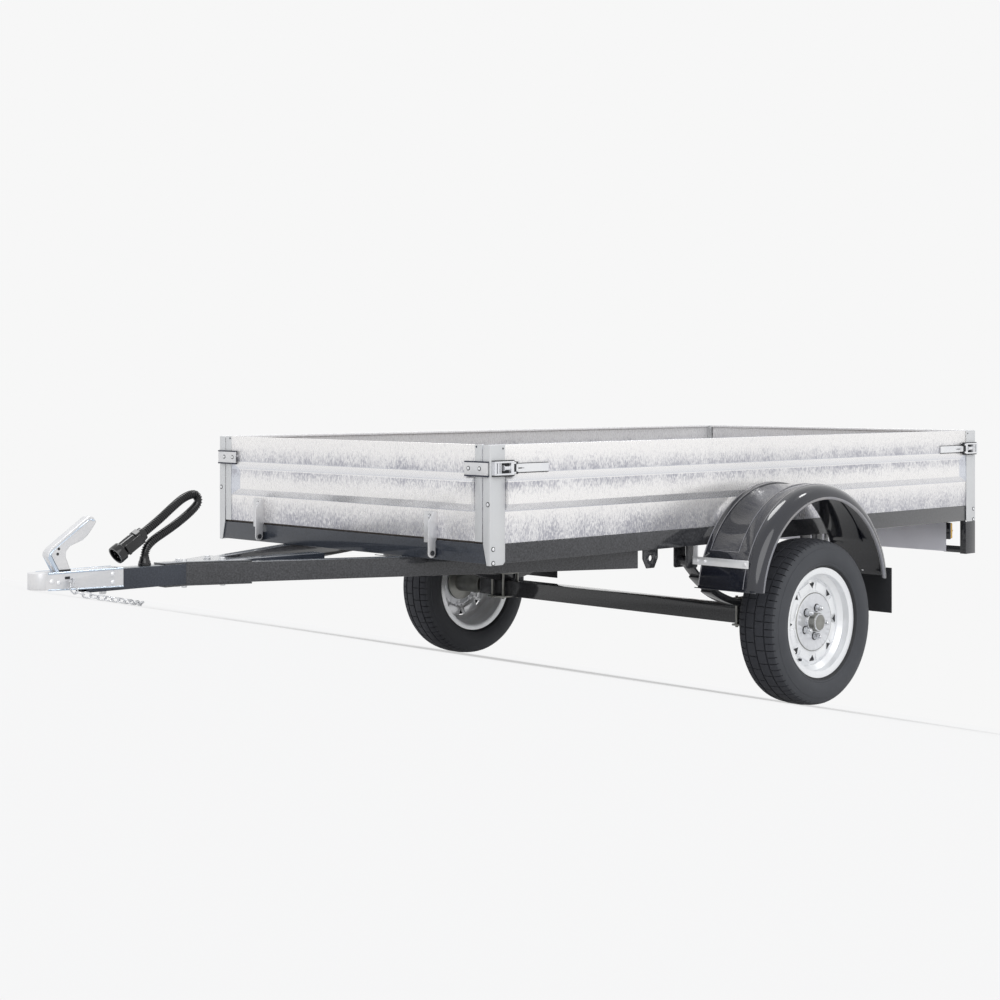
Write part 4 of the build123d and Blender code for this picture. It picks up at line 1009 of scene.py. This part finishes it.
def make_coupling_trim():
    """Rivets, slots and the nut of the coupling, the lever's rolled edge and its finger holes; the slots and
    holes are dark plates of painted shade.
    """
    out = (0, 1, 0)
    rivets = both_sides([((x, 0.0338, z), out) for x, z in ((0.868, -0.012), (0.868, -0.036),
                                                            (1.041, -0.025), (1.063, -0.02))])
    fasten(dome_rivet(0.0068, 0.0038), rivets, "coupling_rivets")
    # painted shade: dark plates in the coupling's slots and the lever's finger holes
    shadows = []
    for _, sign in sides:
        shadows += blocks(((1.006, 1.022), (sign * 0.0336, sign * 0.0346), (-0.0165, -0.009), 0.0004),
                          ((0.9935, 1.0335), (sign * 0.0154, sign * 0.0172), (0.0042, 0.009), 0.0004))
    hole = turned(((0, 0.004), (0.0012, 0.004)), 16)
    spots = both_sides([((x, 0.0156, z), out) for x, z in ((1.0303, 0.0677), (1.034, 0.0535))])
    shadows.append(scatter(hole, spots, "lever_holes"))
    fit(join(shadows, "coupling_shadows"), "chassis", **dark)
    lever_line = ((1.033, 0.005), (1.058, 0.0495), (1.056, 0.058), (1.047, 0.067), (0.935, 0.146),
                  (0.926, 0.147), (0.92, 0.143))
    rolls = [swept([(x, sign * 0.0128, z) for x, z in lever_line], 0.0062, 14) for _, sign in sides]
    fit(smooth(join(rolls, "lever_rolled_edges"), 60), "chassis", slot="zinc", look="lever")
    edges = []
    for _, sign in sides:
        edges.append(swept([(x, sign * 0.0325, 0.002) for x in (0.834, 0.9, 0.98, 1.074)], 0.0032))
        edges.append(swept([(x, sign * 0.0335, z) for x, z in ((0.834, -0.0495), (1.000, -0.0458),
                                                               (1.074, -0.043))], 0.0022))
    fit(smooth(join(edges, "coupling_folded_edges"), 60), "chassis", slot="zinc", look="lever")
    fit(placed(hex_bolt(0.01, 0.011), along((0.88, 0, -0.06), (0, 0, -1))), "chassis", **bright)


def band_end(low, high, name, place=Matrix()):
    """A full-height stretch of the walls' pressed band, as it lies on the left wall, then moved."""
    band = block((low, high), (skin - 0.001, skin + 0.015), (0.152, 0.266), edge=0)
    crest = skin + 0.01
    with editing(band, "VERT", lambda spot, _: spot.y > crest and spot.z > 0.25):
        bpy.ops.transform.translate(value=(0, 0, -0.028))
    with editing(band, "VERT", lambda spot, _: spot.y > crest and spot.z < 0.16):
        bpy.ops.transform.translate(value=(0, 0, 0.022))
    return placed(smooth(band, 20), place, name)


def make_band_ends():
    """At the front left corner the pressed bands run on to the post."""
    to_gate = Matrix.Translation((front_face - skin, 0, 0)) @ Matrix.Rotation(-pi / 2, 4, "Z")
    fit(band_end(-0.132, -0.064, "wall_band_end"), "chassis", slot="galvanised")
    fit(band_end(-0.608, -0.54, "gate_band_end", to_gate), "front_gate_body", slot="galvanised")


make_corner_hardware()
make_band_ends()
fit(four_corners(make_latch(), "wall_latches"), "chassis", "toggle_latches", **bright)
# painted shade: the dark plates of each latch
fit(four_corners(make_latch_shadows(), "latch_painted_shade"), "chassis", **dark)
make_gate_hardware("front", list, Matrix())
make_gate_hardware("rear", at_rear, far_end)
make_frame_bolts()
make_coupling_trim()


# ---- tail lamps ----
def make_lamp(side, sign):
    """A lamp: its black base and its ribbed lens, amber at the outer end and red inside."""
    back = rear_face + 0.029
    rib_tops = [0.4375 + 0.009 * index for index in range(16)]
    base = block((back, back - 0.008), (0.427, 0.582), (-0.08, -0.014), 0.002)
    glass = block((back - 0.007, back - 0.024), (0.429, 0.58), (-0.0782, -0.0158), 0.0045, 3)
    ribs = blocks(*[((back - 0.022, back - 0.0256), (across - 0.0022, across + 0.0022), (-0.073, -0.021),
                     0.0012) for across in rib_tops])
    screw = turned(((0, 0.0036), (0.0012, 0.0034), (0.002, 0.002)), 14)
    spots = [((back - 0.0255, across, -0.047), (-1, 0, 0)) for across in (0.433, 0.576)]
    screws = scatter(screw, spots, f"lamp_screws_{side}")
    whole_lens = join([glass, *ribs], f"lamp_lens_{side}")
    base.name = f"lamp_base_{side}"
    if sign < 0:
        for piece in (base, whole_lens, screws):
            placed(piece, far_side)
    fit(smooth(whole_lens), "chassis", f"tail_lamp_{side}", slot="lamp_plastic")
    second_finish(whole_lens, "amber", lambda spot, _: abs(spot.y) > 0.536)
    fit(smooth(base), "chassis", slot="black_plastic")
    fit(screws, "chassis", **bright)


for lamp_side, lamp_sign in sides:
    make_lamp(lamp_side, lamp_sign)


# ---- safety chain ----
link_length = 0.03
link_width = 0.02
link_wire = 0.004
link_pitch = link_length - 2 * link_wire - 0.0008
# each link's heading in degrees from +X and its roll, as the chain runs from its eye
link_courses = (
    (90, 0), (170, 3), (168, 93), (164, 20), (160, 120), (166, 40), (172, 133),
    (178, 45), (186, 135), (194, 45), (202, 135), (210, 45), (217, 135), (222, 45),
)


def make_link():
    """One link of round wire, lying in the XY plane with its length along X."""
    clear()
    bpy.ops.mesh.primitive_torus_add(major_radius=(link_width - link_wire) / 2, minor_radius=link_wire / 2,
                                     major_segments=20, minor_segments=8)
    link = bpy.context.object
    for side in (1, -1):
        with editing(link, "VERT", lambda spot, _: spot.x * side > 0.00001):
            bpy.ops.transform.translate(value=(side * (link_length - link_width) / 2, 0, 0))
    return smooth(link, 60)


def make_chain():
    """Round-wire links laid where the plain ones are."""
    head_side = 0.034
    eye_length = 0.02
    eye = parked @ Vector((1.008, 0, -0.018))
    joint = Vector((eye.x, head_side + (eye_length + link_width - link_wire) / 2, eye.z + 0.0018))
    lying = (link_width + link_wire) / 2 / sqrt(2) + 0.0004 + floor_level
    levels = (joint.z - link_pitch, lying + 0.004, lying + 0.0015, lying + 0.001, lying)
    pattern = make_link()
    links = []
    for index, (heading, roll) in enumerate(link_courses):
        ahead = Vector((cos(radians(heading)), sin(radians(heading)), 0))
        across = Vector((-ahead.y, ahead.x, 0))
        drop = joint.z - levels[min(index, len(levels) - 1)]
        run = sqrt(max(link_pitch ** 2 - drop ** 2, 0))
        way = (ahead * run - Vector((0, 0, drop))).normalized()
        face_on = across * cos(radians(roll)) + way.cross(across) * sin(radians(roll))
        place = Matrix((way, face_on.cross(way), face_on)).transposed().to_4x4()
        place.translation = joint + way * (link_pitch / 2)
        links.append(copy_of(pattern, place))
        joint = joint + way * link_pitch
    remove(pattern)
    chain = join(links, "round_link_chain")
    fit(chain, "chassis", "safety_chain", slot="zinc", look="chain", carried=False)


make_chain()


# ---- floor, world and lamps ----
def seen_rays(tree):
    """1 for the rays that look at the background straight, in a reflection or through a lens."""
    light_path = add(tree, "LightPath", {}).outputs
    share = light_path["Is Camera Ray"]
    for kind in ("Is Glossy Ray", "Is Transmission Ray"):
        share = maths(tree, "ADD", share, light_path[kind], clamp=True)
    return share


def blend_shaders(tree, share, low, high, end):
    """Give out two shaders blended by this share."""
    blend = add(tree, "MixShader", {0: share, 1: low.outputs[0], 2: high.outputs[0]})
    feed(tree, tree.nodes[end], {"Surface": blend.outputs["Shader"]})


def set_floor():
    """A wide pale floor that keeps the trailer's shadow."""
    clear()
    bpy.ops.mesh.primitive_plane_add(size=60, location=(-1.5, 0, floor_level - 0.0005))
    floor = bpy.context.object
    floor.name = "studio_floor"
    bpy.ops.object.transform_apply()
    material = bpy.data.materials.new("studio floor")
    material.use_nodes = True
    tree = material.node_tree
    shader = tree.nodes["Principled BSDF"]
    feed(tree, shader, {"Base Color": (0.732, 0.724, 0.716, 1), "Roughness": 1.0, "Specular IOR Level": 0.0})
    glow = add(tree, "Emission", {"Color": (0.925, 0.925, 0.925, 1)})
    share = maths(tree, "MULTIPLY", seen_rays(tree), 0.55)
    blend_shaders(tree, share, shader, glow, "Material Output")
    floor.data.materials.append(material)


def set_light():
    """The world and three soft lamps."""
    world = bpy.data.worlds.new("studio")
    bpy.context.scene.world = world
    world.use_nodes = True
    tree = world.node_tree
    lit = tree.nodes["Background"]
    feed(tree, lit, {"Color": (0.95, 0.97, 1.0, 1), "Strength": 0.86})
    seen = add(tree, "Background", {"Color": (0.93, 0.93, 0.93, 1)})
    blend_shaders(tree, seen_rays(tree), lit, seen, "World Output")
    for name, strength, angle, way in (("sun", 0.95, 25, (0.12, -0.35, 0.9)),
                                       ("fill", 0.72, 42, (0.45, 0.76, 0.42)),
                                       ("edge", 0.22, 9, (-0.34, 0.27, 0.885))):
        lamp = bpy.data.lights.new(name, "SUN")
        lamp.energy = strength
        lamp.angle = radians(angle)
        holder = bpy.data.objects.new(name, lamp)
        holder.rotation_euler = Vector(way).to_track_quat("Z", "Y").to_euler()
        bpy.context.scene.collection.objects.link(holder)
    bpy.context.scene.view_settings.view_transform = "Standard"


set_floor()
set_light()
